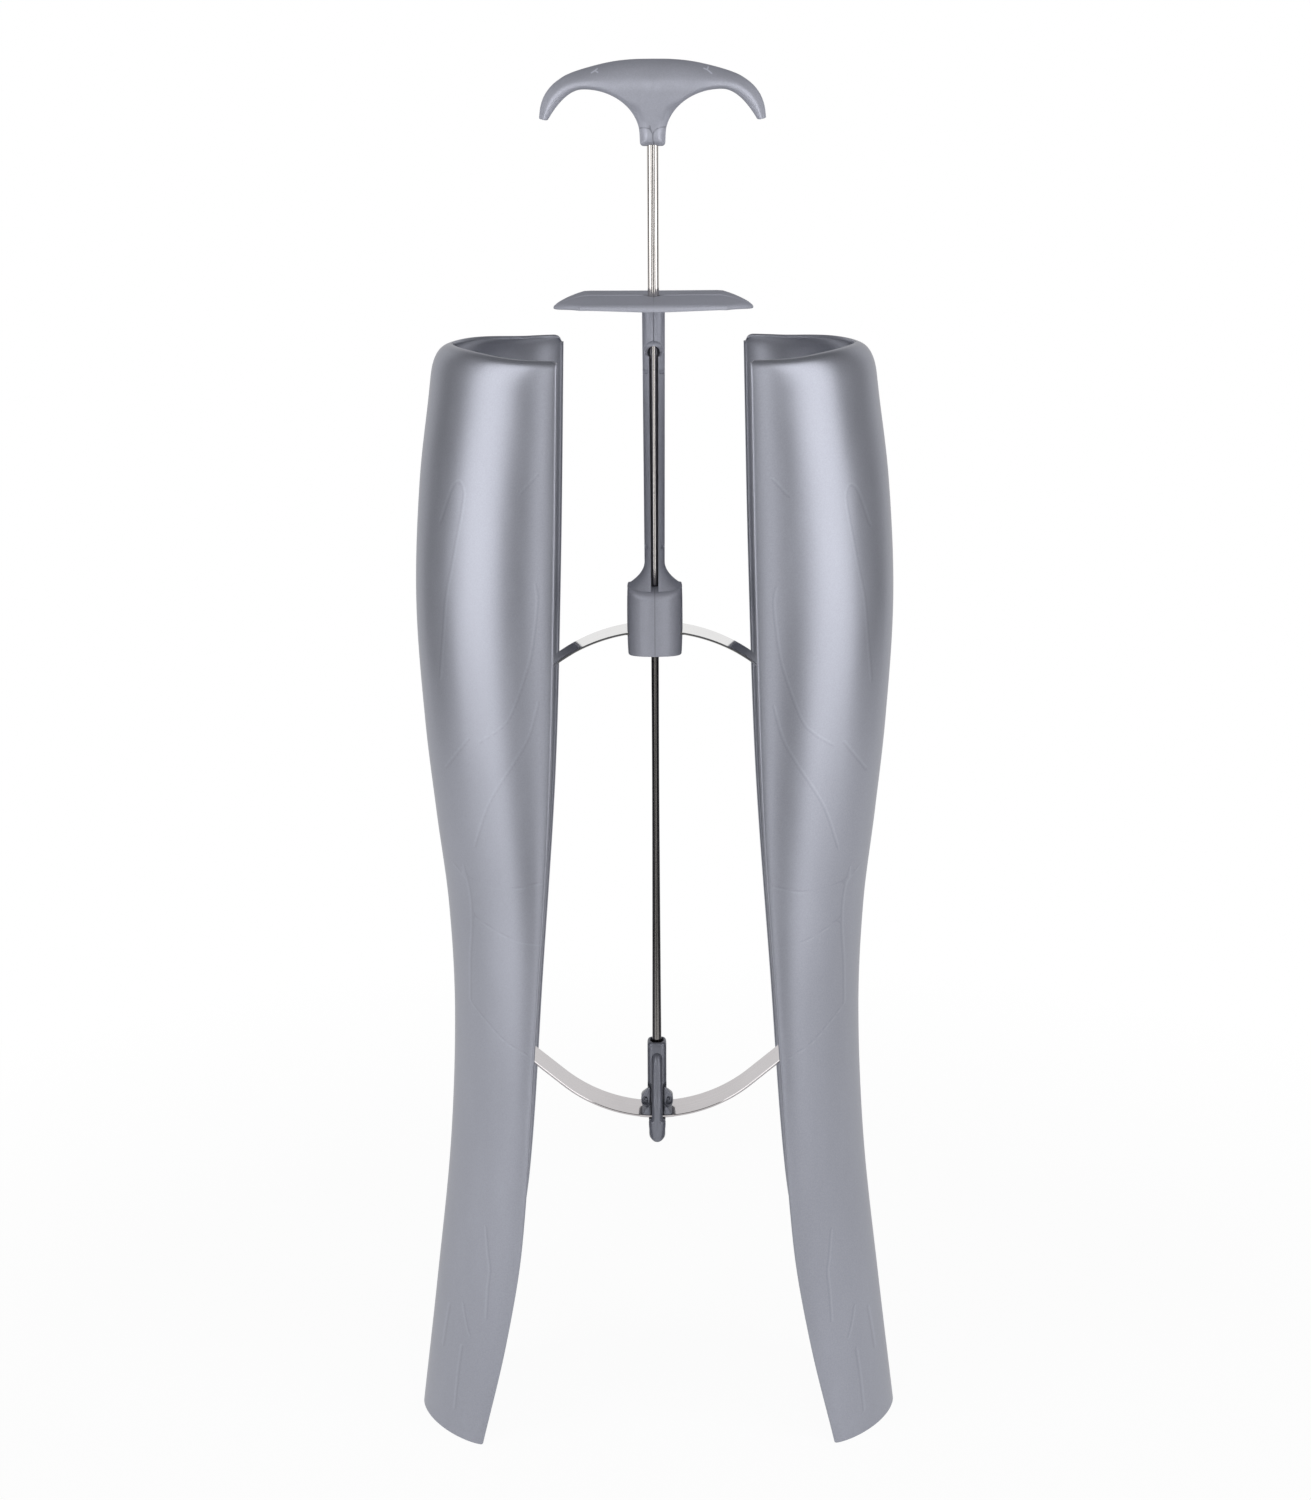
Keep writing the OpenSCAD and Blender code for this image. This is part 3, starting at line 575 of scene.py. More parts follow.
def lug(pin, side):
    """Lug on one side of a strip end, from the pin out to the middle of the shell wall."""
    near = STRIP_W / 2 + LUG_GAP
    low, high = pin[1] - LUG_R, pin[1] + LUG_R
    y0, y1 = sorted((side * near, side * (near + LUG_W)))
    t = np.radians(np.linspace(90, 270, 21))
    nose = pin + LUG_R * np.stack([np.cos(t), np.sin(t)], -1)
    reach = min(wall_x(z, y) for z in (low, high) for y in (y0, y1)) - LUG_SINK
    outline = np.concatenate([nose, [(reach, low), (reach, high)]])
    return slab_xz(outline, y0, y1, 0.25)


# Faint lines in the moulding, as (x, z) seen from the front, drawn with a painted highlight on one
# side and painted shade on the other. The right shell has them a little further out and lower
# than the left one.
FLOW_SHIFT = 0.6
FLOW_LINES = [
    [(76.2, 293.5), (74.5, 310.4), (73.0, 324.6), (70.8, 334.9), (68.7, 345.0), (66.6, 355.2),
     (65.6, 361.8), (66.3, 364.9), (67.5, 365.9), (69.6, 363.9), (71.5, 359.3), (74.8, 349.9)],
    [(39.8, 370.1), (42.6, 367.0), (45.4, 363.9)],
    [(41.1, 332.0), (40.5, 325.7), (42.6, 309.1), (45.3, 298.9), (50.6, 284.5), (54.9, 279.0),
     (62.0, 273.4)],
    [(40.7, 289.9), (44.1, 277.9), (48.8, 268.8), (55.3, 258.2), (60.1, 248.6), (64.8, 233.8)],
    [(65.9, 274.1), (70.6, 267.4), (75.0, 260.8)],
    [(74.0, 224.0), (67.6, 220.3), (52.9, 219.9), (40.4, 223.7)],
    [(66.0, 206.0), (51.8, 201.0), (41.8, 200.3)],
    [(69.5, 224.4), (67.2, 214.7), (66.8, 202.6), (67.8, 188.5), (68.2, 172.0)],
    [(68.2, 172.0), (62.3, 167.0), (55.2, 161.3), (47.5, 157.8)],
    [(63.9, 86.3), (63.2, 75.8), (62.6, 70.2), (63.5, 61.7), (64.3, 50.4)],
    [(73.4, 52.5), (72.5, 46.8), (71.0, 41.1)],
    [(79.0, 49.0), (80.5, 40.4), (82.0, 31.1)],
    [(74.1, 36.1), (75.4, 27.5), (76.3, 20.3), (77.4, 10.0)],
]
FAR = 9.0


def line_marks(flat, front, lines, reach=6.0):
    """Signed and plain distance in the view plane from each point to the nearest of several lines,
    in millimetres. Each line is a few points joined by a smooth curve, and only points that are
    front count. A point that is near no line gets FAR."""
    best, side = np.full(len(flat), FAR), np.full(len(flat), FAR)
    for line in lines:
        c = np.array(line, float)
        share, s = np.linspace(0, 1, len(c)), np.linspace(0, 1, 60)
        path = np.stack([curve(share, c[:, 0], s), curve(share, c[:, 1], s)], -1)
        a, ab = path[:-1], np.diff(path, axis=0)
        inside = (flat > c.min(0) - reach) & (flat < c.max(0) + reach)
        close = np.flatnonzero(inside.all(1) & front)
        q = flat[close]
        t = np.clip(((q[:, None] - a) * ab).sum(-1) / (ab ** 2).sum(-1), 0, 1)
        gap = q[:, None] - (a + t[..., None] * ab)
        d = np.linalg.norm(gap, axis=-1)
        k = d.argmin(1)
        row = np.arange(len(q))
        turn = np.sign(ab[k, 0] * gap[row, k, 1] - ab[k, 1] * gap[row, k, 0])
        nearer = d[row, k] < best[close]
        best[close[nearer]] = d[row, k][nearer]
        side[close[nearer]] = (turn * d[row, k])[nearer]
    return {"line_side": side, "line_near": best}


# The ridge tone lightens a thin line along the finger plate's middle ridge: a painted highlight
SEAM_TONE, SCUFF_TONE, RIDGE_HIGHLIGHT_TONE = -0.45, 0.6, 0.3


def drawn_lines(sets):
    """The nearest line at every point out of several sets, each with its own tone."""
    near = np.stack([marks["line_near"] for marks, _ in sets])
    tones = np.array([tone_of for _, tone_of in sets])
    return {"line_near": near.min(0), "line_tone": tones[near.argmin(0)]}


class BOOTSHAPER_OT_shells(bpy.types.Operator):
    """Builds the two moulded half shells with the lugs inside them"""
    bl_idname = "boot_shaper.shells"
    bl_label = "Half shells"

    def execute(self, context):
        right = [shell_wall()] + [lug(pin, s) for pin in (UPPER_PIN, LOWER_PIN) for s in (-1, 1)]
        left = [mirrored(p) for p in right]
        for name, parts, shift in (("right", right, FLOW_SHIFT), ("left", left, 0.0)):
            points = np.concatenate([p for p, _ in parts])
            lines = [[(x + shift, z - 3 * shift) for x, z in line] for line in FLOW_LINES]
            marks = line_marks(np.abs(points[:, [0, 2]]), points[:, 1] < 0, lines)
            obj = piece(f"half_shell_{name}", parts, finish("shell"), 40, 0.002, marks)
            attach(obj, f"shell_{name}")
            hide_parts(f"shell_{name}")
            dress(f"hinge_pins_{name}", "pin")
        return {"FINISHED"}


# Spring strips

BOW_STEPS, RUN_STEPS, EYE_STEPS, EYE_TURN = 40, 12, 54, 318


def strip_path(radius, lead, start_x, pin, fall):
    """Middle line of one arm of a strip as points and normals in x and z: a bow of the given radius
    from start_x, a straight run at the lead angle, and an eye rolled round the pin. It falls away
    from the middle, or rises."""
    r = radius - STRIP_T / 2
    lead = radians(lead)
    first = np.arcsin(start_x / radius)
    a = np.linspace(first, lead, BOW_STEPS)
    bow = np.stack([r * np.sin(a), r * np.cos(a) - radius], -1)
    bow_n = np.stack([np.sin(a), np.cos(a)], -1)
    eye_r = PIN_R + EYE_CLEAR + STRIP_T / 2
    run = (pin[0] - bow[-1, 0] + np.sin(lead) * eye_r) / np.cos(lead)
    end = bow[-1] + run * np.array([np.cos(lead), -np.sin(lead)])
    centre = end - eye_r * bow_n[-1]
    t = np.radians(np.linspace(0, EYE_TURN, EYE_STEPS))
    turn = np.pi / 2 - lead - t
    eye_n = np.stack([np.cos(turn), np.sin(turn)], -1)
    eye = centre + eye_r * eye_n
    mid = mix(bow[-1], end, np.linspace(0, 1, RUN_STEPS + 2)[1:-1, None])
    path = np.concatenate([bow, mid, eye])
    normal = np.concatenate([bow_n, np.repeat(bow_n[-1:], len(mid), 0), eye_n])
    if fall:
        return path, normal
    return path * (1, -1), normal * (1, -1)


class BOOTSHAPER_OT_strips(bpy.types.Operator):
    """Builds both arms of the upper and the lower spring strip"""
    bl_idname = "boot_shaper.strips"
    bl_label = "Spring strips"

    def execute(self, context):
        s = sizes()
        upper_start, lower_start = UPPER_HIGH[0], LOWER_HIGH[0]
        upper, upper_n = strip_path(s.upper_bow, s.upper_lead, upper_start, UPPER_PIN, True)
        lower, lower_n = strip_path(s.lower_bow, s.lower_lead, lower_start, LOWER_PIN, False)
        arms = {"upper": (upper + (0, UPPER_Z), upper_n, "slider", upper_start, "strip"),
                "lower": (lower + (0, LOWER_Z - STRIP_T), lower_n, "rod_set", lower_start,
                          "foot_strip")}
        for level, (path, normal, holder, start_x, steel) in arms.items():
            right = swept(path, normal, STRIP_W, STRIP_T)
            for side, part, sign in (("right", right, 1), ("left", mirrored(right), -1)):
                obj = piece(f"{level}_strip_{side}", [part], finish(steel), 30)
                node = f"{level}_spring_{side}"
                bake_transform(obj)
                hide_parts(node)
            dress(f"{level}_spring_middle", steel)
        return {"FINISHED"}


# Handle

# Crown of the handle: distance from the middle, and fall below its top
CROWN_LINE = [(0, 0), (6.5, 0.12), (13.4, 0.85), (21.5, 2.7), (28.4, 5.0), (32.3, 7.4), (34.8, 9.8),
              (36.6, 12.6), (37.7, 15.8), (38.2, 19.5)]
HANDLE_TALL = HANDLE_HIGH[2] - HANDLE_LOW[2]
ARCH_SHARE, ARCH_Z, ARCH_SAG = 0.605, -10.05, 0.067
NECK_CORNER, NECK_FLARE, TIP_W = 1.2, 16, 3.1
HANDLE_COLUMNS, HANDLE_ROWS, SMOOTHINGS = 131, 71, 14


def handle_outline():
    """Lower and upper line of the right half of the handle, seen from the front with the crown at
    the origin. The lower line runs under the neck, up its flare, over the arch and down to the
    tip."""
    tip, half = HANDLE_HIGH[0], sizes().neck_width / 2
    arch_x, corner = ARCH_SHARE * tip, NECK_CORNER
    foot = np.stack([np.linspace(0, half - corner, 12), np.full(12, -HANDLE_TALL)], -1)
    t = np.radians(np.linspace(-90, 0, 8))[1:]
    bend = np.stack([half - corner + corner * np.cos(t),
                     -HANDLE_TALL + corner + corner * np.sin(t)], -1)
    z = np.linspace(-HANDLE_TALL + corner, ARCH_Z - NECK_FLARE, 5)[1:-1]
    side = np.stack([np.full(len(z), half), z], -1)
    t = np.radians(np.linspace(0, 90, 60))
    flare = np.stack([arch_x - (arch_x - half) * np.cos(t),
                      ARCH_Z - NECK_FLARE + NECK_FLARE * np.sin(t)], -1)
    x = np.linspace(arch_x, tip - TIP_W, 40)[1:]
    arch = np.stack([x, ARCH_Z - ARCH_SAG * (x - arch_x) ** 2], -1)
    lower = np.concatenate([foot, bend, side, flare, arch])
    crown = np.array(CROWN_LINE) * (tip / CROWN_LINE[-1][0], 1)
    run = np.concatenate([[0], np.cumsum(np.linalg.norm(np.diff(crown, axis=0), axis=1))])
    share, t = run / run[-1], np.linspace(0, 1, 300)
    upper = np.stack([curve(share, crown[:, 0], t), -curve(share, crown[:, 1], t)], -1)
    return lower, upper


def resample(line, count, ease=None):
    """The line again at count points evenly spaced along its length, or eased by a function."""
    step = np.linalg.norm(np.diff(line, axis=0), axis=1)
    run = np.concatenate([[0], np.cumsum(step)])
    t = np.linspace(0, 1, count)
    t = (ease(t) if ease else t) * run[-1]
    return np.stack([np.interp(t, run, line[:, 0]), np.interp(t, run, line[:, 1])], -1)


def gap_to(line, q):
    """Distance from each point q to a line of many short steps."""
    a, b = line[:-1], line[1:]
    ab = b - a
    out = np.empty(len(q))
    for k in range(0, len(q), 4000):
        p = q[k:k + 4000, None]
        t = np.clip(((p - a) * ab).sum(-1) / np.maximum((ab ** 2).sum(-1), 1e-9), 0, 1)
        out[k:k + 4000] = np.linalg.norm(p - (a + t[..., None] * ab), axis=-1).min(1)
    return out


def handle_depth(x, z, lower, upper):
    """Half depth of the handle over its front view. It is the full half depth, less under the crown
    towards the neck, times one round that starts at the crown and one at the lower line: sharp and
    shallow along the arms, full at the neck."""
    tip, deep = HANDLE_HIGH[0], HANDLE_HIGH[1]
    t = np.clip(np.abs(x) / tip, 0, 1)
    crown = np.interp(np.abs(x), upper[:, 0], upper[:, 1])
    under = crown - z
    q = np.stack([np.abs(x), z], -1)
    below, above = gap_to(lower, q), gap_to(upper, q)
    neck_share = sizes().neck_depth / (2 * deep)
    body = deep * (1 - 0.42 * t ** 2) * mix(1, neck_share, smooth(under, 7, 24))
    thick = below + above
    at_neck = smooth(under, 12, 20) * (1 - smooth(np.abs(x), 6, 12))
    keel = mix(0.16, 0.36, t ** 2) * np.minimum(thick, 9)
    sharp = np.sqrt(1 - (1 - np.clip(below / keel, 0, 1)) ** 2)
    full = np.sqrt(np.maximum(0, 1 - (1 - np.clip(below / 4.2, 0, 1)) ** 2.4))
    low_round = mix(sharp, full, at_neck)
    r_top = np.minimum(thick - keel, 10.5)
    high_round = (1 - (1 - np.clip(above / r_top, 0, 1)) ** 2.1) ** (1 / 2.1)
    return body * low_round * high_round


# Seams and scuffs drawn on the handle, as (x, z) from the top of its crown
NECK_SEAMS = [
    [(-4.3, -22.9), (-3.2, -22.7), (-1.8, -22.8), (-0.9, -23.3), (-0.4, -24.1), (0.1, -24.7)],
    [(-1.0, -21.9), (-0.7, -23.0), (-0.4, -23.9)],
    [(0.2, -24.6), (0.7, -23.7), (1.6, -23.0), (2.8, -22.6), (4.4, -22.5)],
    [(0.1, -24.7), (0.1, -26.3), (0.3, -27.8), (0.4, -29.0)],
]
SCUFFS = [
    [(-20.6, -4.3), (-19.4, -3.6), (-18.6, -3.0)], [(-19.4, -3.6), (-18.4, -4.1)],
    [(17.4, -3.0), (18.6, -3.5), (20.0, -4.6)], [(18.6, -3.5), (18.9, -2.6)],
]


def neck_form(x, z):
    """Height added to the handle's faces: a soft rib down the middle, whose section is a bell
    curve, which fades at the crown and at the neck, and a shallow valley between the neck's two
    lobes."""
    rib = 0.55 * np.exp(-(x / 1.5) ** 2) * smooth(-z, 3, 9) * (1 - smooth(-z, 20, 24))
    hollow = 0.3 * np.exp(-(x / 0.6) ** 2) * smooth(-z, HANDLE_TALL - 6.4, HANDLE_TALL - 5)
    return rib - hollow


def handle_surface():
    """The whole handle as four like quarters: a grid between its lower and upper line, pushed out
    to the front by the half depth, with a soft ridge down its middle. The other quarters are its
    mirror images, whose faces start at the same corner, so that each is split the same way."""
    lower_line, upper_line = handle_outline()
    lower = resample(lower_line, HANDLE_COLUMNS)
    upper = resample(upper_line, HANDLE_COLUMNS,
                     lambda t: np.interp(t, [0, 0.06, 0.42, 1], [0, 0.07, 0.42, 1]))
    even = np.linspace(0, 1, HANDLE_ROWS)
    s = mix(even, 0.5 - 0.5 * np.cos(np.pi * even), 0.6)
    half = lower[:, None] + (upper - lower)[:, None] * s[None, :, None]
    grid = np.concatenate([half[::-1] * (-1, 1), half[1:]], axis=0)
    m, n, _ = grid.shape
    x, z = grid[..., 0].ravel(), grid[..., 1].ravel()
    d = handle_depth(x, z, lower_line, upper_line)
    d = np.maximum(d + neck_form(x, z) * smooth(d, 0.8, 3), 0).reshape(m, n)
    for _ in range(SMOOTHINGS):
        d[1:-1] = (d[:-2] + 2 * d[1:-1] + d[2:]) / 4
        d[:, 1:-1] = (d[:, :-2] + 2 * d[:, 1:-1] + d[:, 2:]) / 4
    d[:, 0] = d[:, -1] = 0
    front = np.stack([grid[..., 0], -d, grid[..., 1] + HANDLE_HIGH[2]], -1)[m // 2:]
    count = len(front)
    faces = grid_faces(count, n, False, False) + [list(range((count - 1) * n, count * n))]
    points, faces = outward(front.reshape(-1, 3), faces)
    other = [[f[0], *f[:0:-1]] for f in faces]
    return [(points, faces), (points * (-1, 1, 1), other), (points * (1, -1, 1), other),
            (points * (-1, -1, 1), faces)]


# Below the slider's head, where the rod looks thinner in the photo, it is drawn slimmer
STEP_DROP, SLIM_R, SLIM_FOOT_R, ROD_SIDES = 9, 1.32, 1.72, 48


def rod_solid():
    """The rod: circles carried up it, ROD_R in the handle and through the finger plate, and drawn
    down to a slimmer wire below that, which thickens a little again towards the clip."""
    step = SLIDER_HIGH[2] - STEP_DROP
    z = np.concatenate([np.linspace(ROD_LOW[2] + 0.05, step - 2, 60),
                        np.linspace(step - 1.5, step + 1.5, 7),
                        np.linspace(step + 2, ROD_HIGH[2] - 0.05, 30)])
    slim = mix(SLIM_R, SLIM_FOOT_R, np.clip((255 - z) / 105, 0, 1) ** 1.4)
    slim = slim + 0.1 * smooth(z, 260, 330)
    r = mix(slim, ROD_R, smooth(z, step - 1.5, step + 1.5))
    t = np.arange(ROD_SIDES) * 2 * np.pi / ROD_SIDES
    return loft(np.stack([r[:, None] * np.cos(t), r[:, None] * np.sin(t),
                          np.broadcast_to(z[:, None], (len(z), ROD_SIDES))], -1))


class BOOTSHAPER_OT_handle(bpy.types.Operator):
    """Builds the palm handle and the rod"""
    bl_idname = "boot_shaper.handle"
    bl_label = "Handle and rod"

    def execute(self, context):
        quarters = handle_surface()
        points = np.concatenate([p for p, _ in quarters])
        flat, front = points[:, [0, 2]] - (0, HANDLE_HIGH[2]), points[:, 1] < 0
        marks = drawn_lines([(line_marks(flat, front, NECK_SEAMS, 2.0), SEAM_TONE),
                             (line_marks(flat, front, SCUFFS, 2.0), SCUFF_TONE)])
        obj = piece("palm_handle", quarters, finish("grip"), 180, 0.004, marks)
        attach(obj, "rod_set")
        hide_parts("handle")
        wire = piece("push_rod", [rod_solid()], finish("rod"), 40)
        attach(wire, "rod_set")
        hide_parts("rod")
        return {"FINISHED"}


# Slider

HOLE_R, PLATE_MID_T, PLATE_TIP_T, PLATE_EDGE = 2.35, 2.4, 1.3, 0.72
PLATE_STRAIGHT, DROOP_FROM, DROOP = 25.0, 23.5, 2.3


def plate_outline():
    """Plan of the finger plate by angle: straight front and back edges, ends that bulge to a
    tip."""
    half_w, half_d, straight = SLIDER_HIGH[0], SLIDER_HIGH[1] + 0.6, PLATE_STRAIGHT
    v = np.linspace(-1, 1, 64, endpoint=False)
    end = straight + (half_w - straight) * (1 - np.abs(v) ** 1.5)
    right = np.stack([end, half_d * v], -1)
    back = np.stack([np.linspace(straight, -straight, 20, endpoint=False),
                     np.full(20, half_d)], -1)
    return np.concatenate([right, back, -right, -back])


def plate_height(x, y):
    """Top of the plate against its long edges: two slopes that rise a little to a ridge along its
    middle, and a droop towards both tips."""
    roof = 0.8 * (1 - np.abs(y) / SLIDER_HIGH[1]) + 0.25 * (y > 0) * y / SLIDER_HIGH[1]
    roof = roof + 0.3 * np.maximum(0, 1 - np.abs(y) / 0.5) * (np.abs(x) > 2.6)
    out = np.clip((np.abs(x) - DROOP_FROM) / (SLIDER_HIGH[0] - DROOP_FROM), 0, 1)
    return roof * (1 - out) - DROOP * out ** 1.4


def plate_solid():
    """The finger plate: rings from the rod's hole out to the edge over the top, round the edge by
    two quarter circles, and back underneath, joined through the hole."""
    rim = plate_outline()
    angle = np.arctan2(rim[:, 1], rim[:, 0])
    hole = HOLE_R * np.stack([np.cos(angle), np.sin(angle)], -1)
    top, foot_r = SLIDER_HIGH[2] - 0.1, 0.3
    thick = mix(PLATE_MID_T, PLATE_TIP_T,
                np.clip((np.abs(rim[:, 0]) - 4) / (SLIDER_HIGH[0] - 4), 0, 1))
    edge_r = PLATE_EDGE * thick
    rows = []
    for k in np.linspace(0, 1, 22):
        ring = mix(hole, inset(rim, edge_r), k)
        rows.append(at_height(ring, top + plate_height(ring[:, 0], ring[:, 1])))
    lift = top + plate_height(rim[:, 0], rim[:, 1])
    for a in np.radians([20, 40, 60, 80, 90]):
        rows.append(at_height(inset(rim, edge_r * (1 - np.sin(a))),
                              lift - edge_r * (1 - np.cos(a))))
    for a in np.radians([0, 30, 60, 90]):
        rows.append(at_height(inset(rim, foot_r * (1 - np.cos(a))),
                              lift - thick + foot_r * (1 - np.sin(a))))
    for k in np.linspace(1, 0, 10)[1:]:
        ring = mix(hole * 0.9, inset(rim, foot_r), k)
        rows.append(at_height(ring, mix(SLIDER_HIGH[2] - 2.75, lift - thick, smooth(k, 0.1, 1))))
    return loft(np.stack(rows), wrap_m=True)


MOUTH_Z = SLIDER_HIGH[2] - 18.9
MOUTH_HALF, ARCH_H = 3.1, 4.4
LIP_LOW, LIP_HIGH = 1.3, 1.62
NOTCHES = (SLIDER_HIGH[2] - 25.5, SLIDER_LOW[2] + 38.4)
BLOCK_H, FLARE_H = 23.8, 8.8
BLOCK_W, BLOCK_D, BLOCK_BULGE = 9.9, 10.5, 2.7
BLOCK_SIDES = 112
BLOCK_POWER, BLOCK_END, BLOCK_FOOT_R, BLOCK_HEAD_R = 8, 0.965, 0.4, 2.4
BORE_R, POCKET_R = ROD_R + 0.12, 2.45


def tube_width(z):
    """Half width of the channel's mouth at the front of the tube: an arch at the top, whose feet
    turn in to the two lips, which close in a little on the way down."""
    lips = mix(LIP_LOW, LIP_HIGH, smooth(z, SLIDER_LOW[2] + BLOCK_H, MOUTH_Z))
    w = mix(lips, MOUTH_HALF, smooth(z, MOUTH_Z - 1.6, MOUTH_Z))
    arch = MOUTH_HALF * np.sqrt(np.clip(1 - ((z - MOUTH_Z) / ARCH_H) ** 2, 0, 1))
    return np.where(z > MOUTH_Z, arch, w)


def tube_inner(z, w):
    """Half width of the channel at the rod: as wide as the mouth where that is narrower than the
    bore, closing in an arch at the top."""
    end = BORE_R * np.sqrt(np.clip(1 - ((z - MOUTH_Z) / 2.3) ** 2, 0, 1))
    return np.minimum(np.where(z > MOUTH_Z, end, BORE_R), 0.97 * w + 0.001)


def tube_ring(a, b, k, w, v):
    """Section of the tube: an outer superellipse open at the front, two bevelled lips, and the bore
    behind them. w is the half width between the lips and v that at the bore."""
    w = min(w, a * 0.9)
    bevel = min(0.3, w * 0.3)
    lip = np.arcsin(min(0.97, ((w + bevel) / a) ** (k / 2)))
    t = np.linspace(lip, 2 * np.pi - lip, 60)
    s, c = np.sin(t), np.cos(t)
    outer = np.stack([a * np.sign(s) * abs(s) ** (2 / k),
                      -b * np.sign(c) * abs(c) ** (2 / k)], -1)
    turn = np.arcsin(min(1.0, v / BORE_R))
    t = np.linspace(2 * np.pi - turn, turn, 26)
    bore = BORE_R * np.stack([np.sin(t), -np.cos(t)], -1)
    front, deep = outer[-1, 1], bore[0, 1]
    wall = np.array([(-w, front + bevel * 0.7), (-mix(w, v, 0.2), mix(front, deep, 0.4)),
                     (-mix(w, v, 0.6), mix(front, deep, 0.7))])
    return np.concatenate([outer, wall, bore, wall[::-1] * (-1, 1)])


def front_dip(x, y, a, b):
    """How far the block's top dips towards the middle of its front and back edge."""
    return 1.7 * np.clip(np.abs(y) / b, 0, 1) ** 2 * np.clip(1 - (x / a) ** 2, 0, 1)


def tube_solid():
    """The guide tube and the flare at its foot, as rings from inside the block up into the plate.
    The flare's half width closes from the block's by 1 - (1 - s)^1.9, and two small pits are sunk
    into the front corners."""
    block_top = SLIDER_LOW[2] + BLOCK_H
    foot = block_top + FLARE_H
    tube_r, foot_r = sizes().tube, 3.6
    top = SLIDER_HIGH[2] - 1.2
    notches = [n + d for n in NOTCHES for d in (-0.68, -0.6, 0.6, 0.68)]
    heights = np.sort(np.concatenate([
        block_top + FLARE_H * (1 - np.cos(np.radians(np.linspace(0, 90, 30)))),
        np.linspace(foot + 1, MOUTH_Z - 2.5, 40), notches,
        np.linspace(MOUTH_Z - 2, MOUTH_Z, 12),
        MOUTH_Z + ARCH_H * np.sin(np.radians(np.linspace(5, 90, 26))),
        [MOUTH_Z + ARCH_H + 0.1, top]]))
    w_line = tube_width(heights)
    v_line = tube_inner(heights, w_line)
    rows = []
    for z, w, v in zip(heights, w_line, v_line):
        s = np.clip((z - block_top) / FLARE_H, 0, 1)
        slim = 1 - (1 - s) ** 1.9
        r = mix(foot_r, tube_r, np.clip((z - foot) / (top - foot), 0, 1))
        a, b = mix(BLOCK_W - 0.1, r, slim), mix(BLOCK_D - 2.2, r, slim)
        ring = tube_ring(a, b, mix(3.6, 2, slim), w, v)
        if min(abs(z - n) for n in NOTCHES) < 0.62:
            pit = (ring[:, 1] < -1) & (np.abs(ring[:, 0]) > 2.2)
            ring = np.where(pit[:, None], ring * (0.88, 0.6), ring)
        dip = (1 - slim) ** 2 * front_dip(ring[:, 0], ring[:, 1], a, b)
        rows.append(at_height(ring, z - dip))
    return loft(rows)


def block_ring(shrink, swell):
    """Plan of the block: a superellipse whose front and back bow outwards, the corners lying back
    by BLOCK_BULGE times the square of the distance from the middle."""
    ring = superellipse(BLOCK_W * swell - shrink, BLOCK_D - shrink, BLOCK_POWER, BLOCK_SIDES)
    back = BLOCK_BULGE * (ring[:, 0] / BLOCK_W) ** 2
    back = back * np.clip(np.abs(ring[:, 1]) / BLOCK_D, 0, 1)
    return np.stack([ring[:, 0], ring[:, 1] - np.sign(ring[:, 1]) * back], -1)


def block_solid():
    """The block: its plan carried up with a slight swell at mid height, soft edges at top and
    bottom, and pierced for the rod, with a wider pocket at the top."""
    low, high = SLIDER_LOW[2], SLIDER_LOW[2] + BLOCK_H + 0.3
    circle = superellipse(1, 1, 2, BLOCK_SIDES)
    r = BLOCK_FOOT_R
    rows = []
    for k in (0, 0.35, 0.7):
        rows.append(at_height(mix(circle * BORE_R * 0.8, block_ring(r, BLOCK_END), k), low))
    for a in np.radians([0, 22, 45, 68, 90]):
        rows.append(at_height(block_ring(r * (1 - np.sin(a)), BLOCK_END),
                              low + r * (1 - np.cos(a))))
    for s in np.linspace(0.04, 0.86, 26):
        swell = 1 - 0.035 * (2 * s - 1) ** 2 * (1 if s < 0.5 else 0.3)
        rows.append(at_height(block_ring(0, swell), mix(low, high, s)))
    for a in np.radians([0, 15, 30, 45, 60, 75, 90]):
        ring = block_ring(0, 0.99) * (1 - 0.02 * (1 - np.cos(a)), 1 - 0.2 * (1 - np.cos(a)))
        dip = front_dip(ring[:, 0], ring[:, 1], BLOCK_W, BLOCK_D)
        rows.append(at_height(ring, high - BLOCK_HEAD_R * (1 - np.sin(a)) - dip))
    edge = rows[-1]
    for k in (0.75, 0.5, 0.25, 0):
        ring = mix(circle * POCKET_R, edge[:, :2], k)
        dip = front_dip(ring[:, 0], ring[:, 1], BLOCK_W, BLOCK_D)
        rows.append(at_height(ring, high - dip))
    rows.append(at_height(circle * 2.4, high - 3.2))
    rows.append(at_height(circle * BORE_R, high - 3.3))
    rows.append(at_height(circle * BORE_R * 0.8, low + 0.4))
    return loft(np.stack(rows), wrap_m=True)


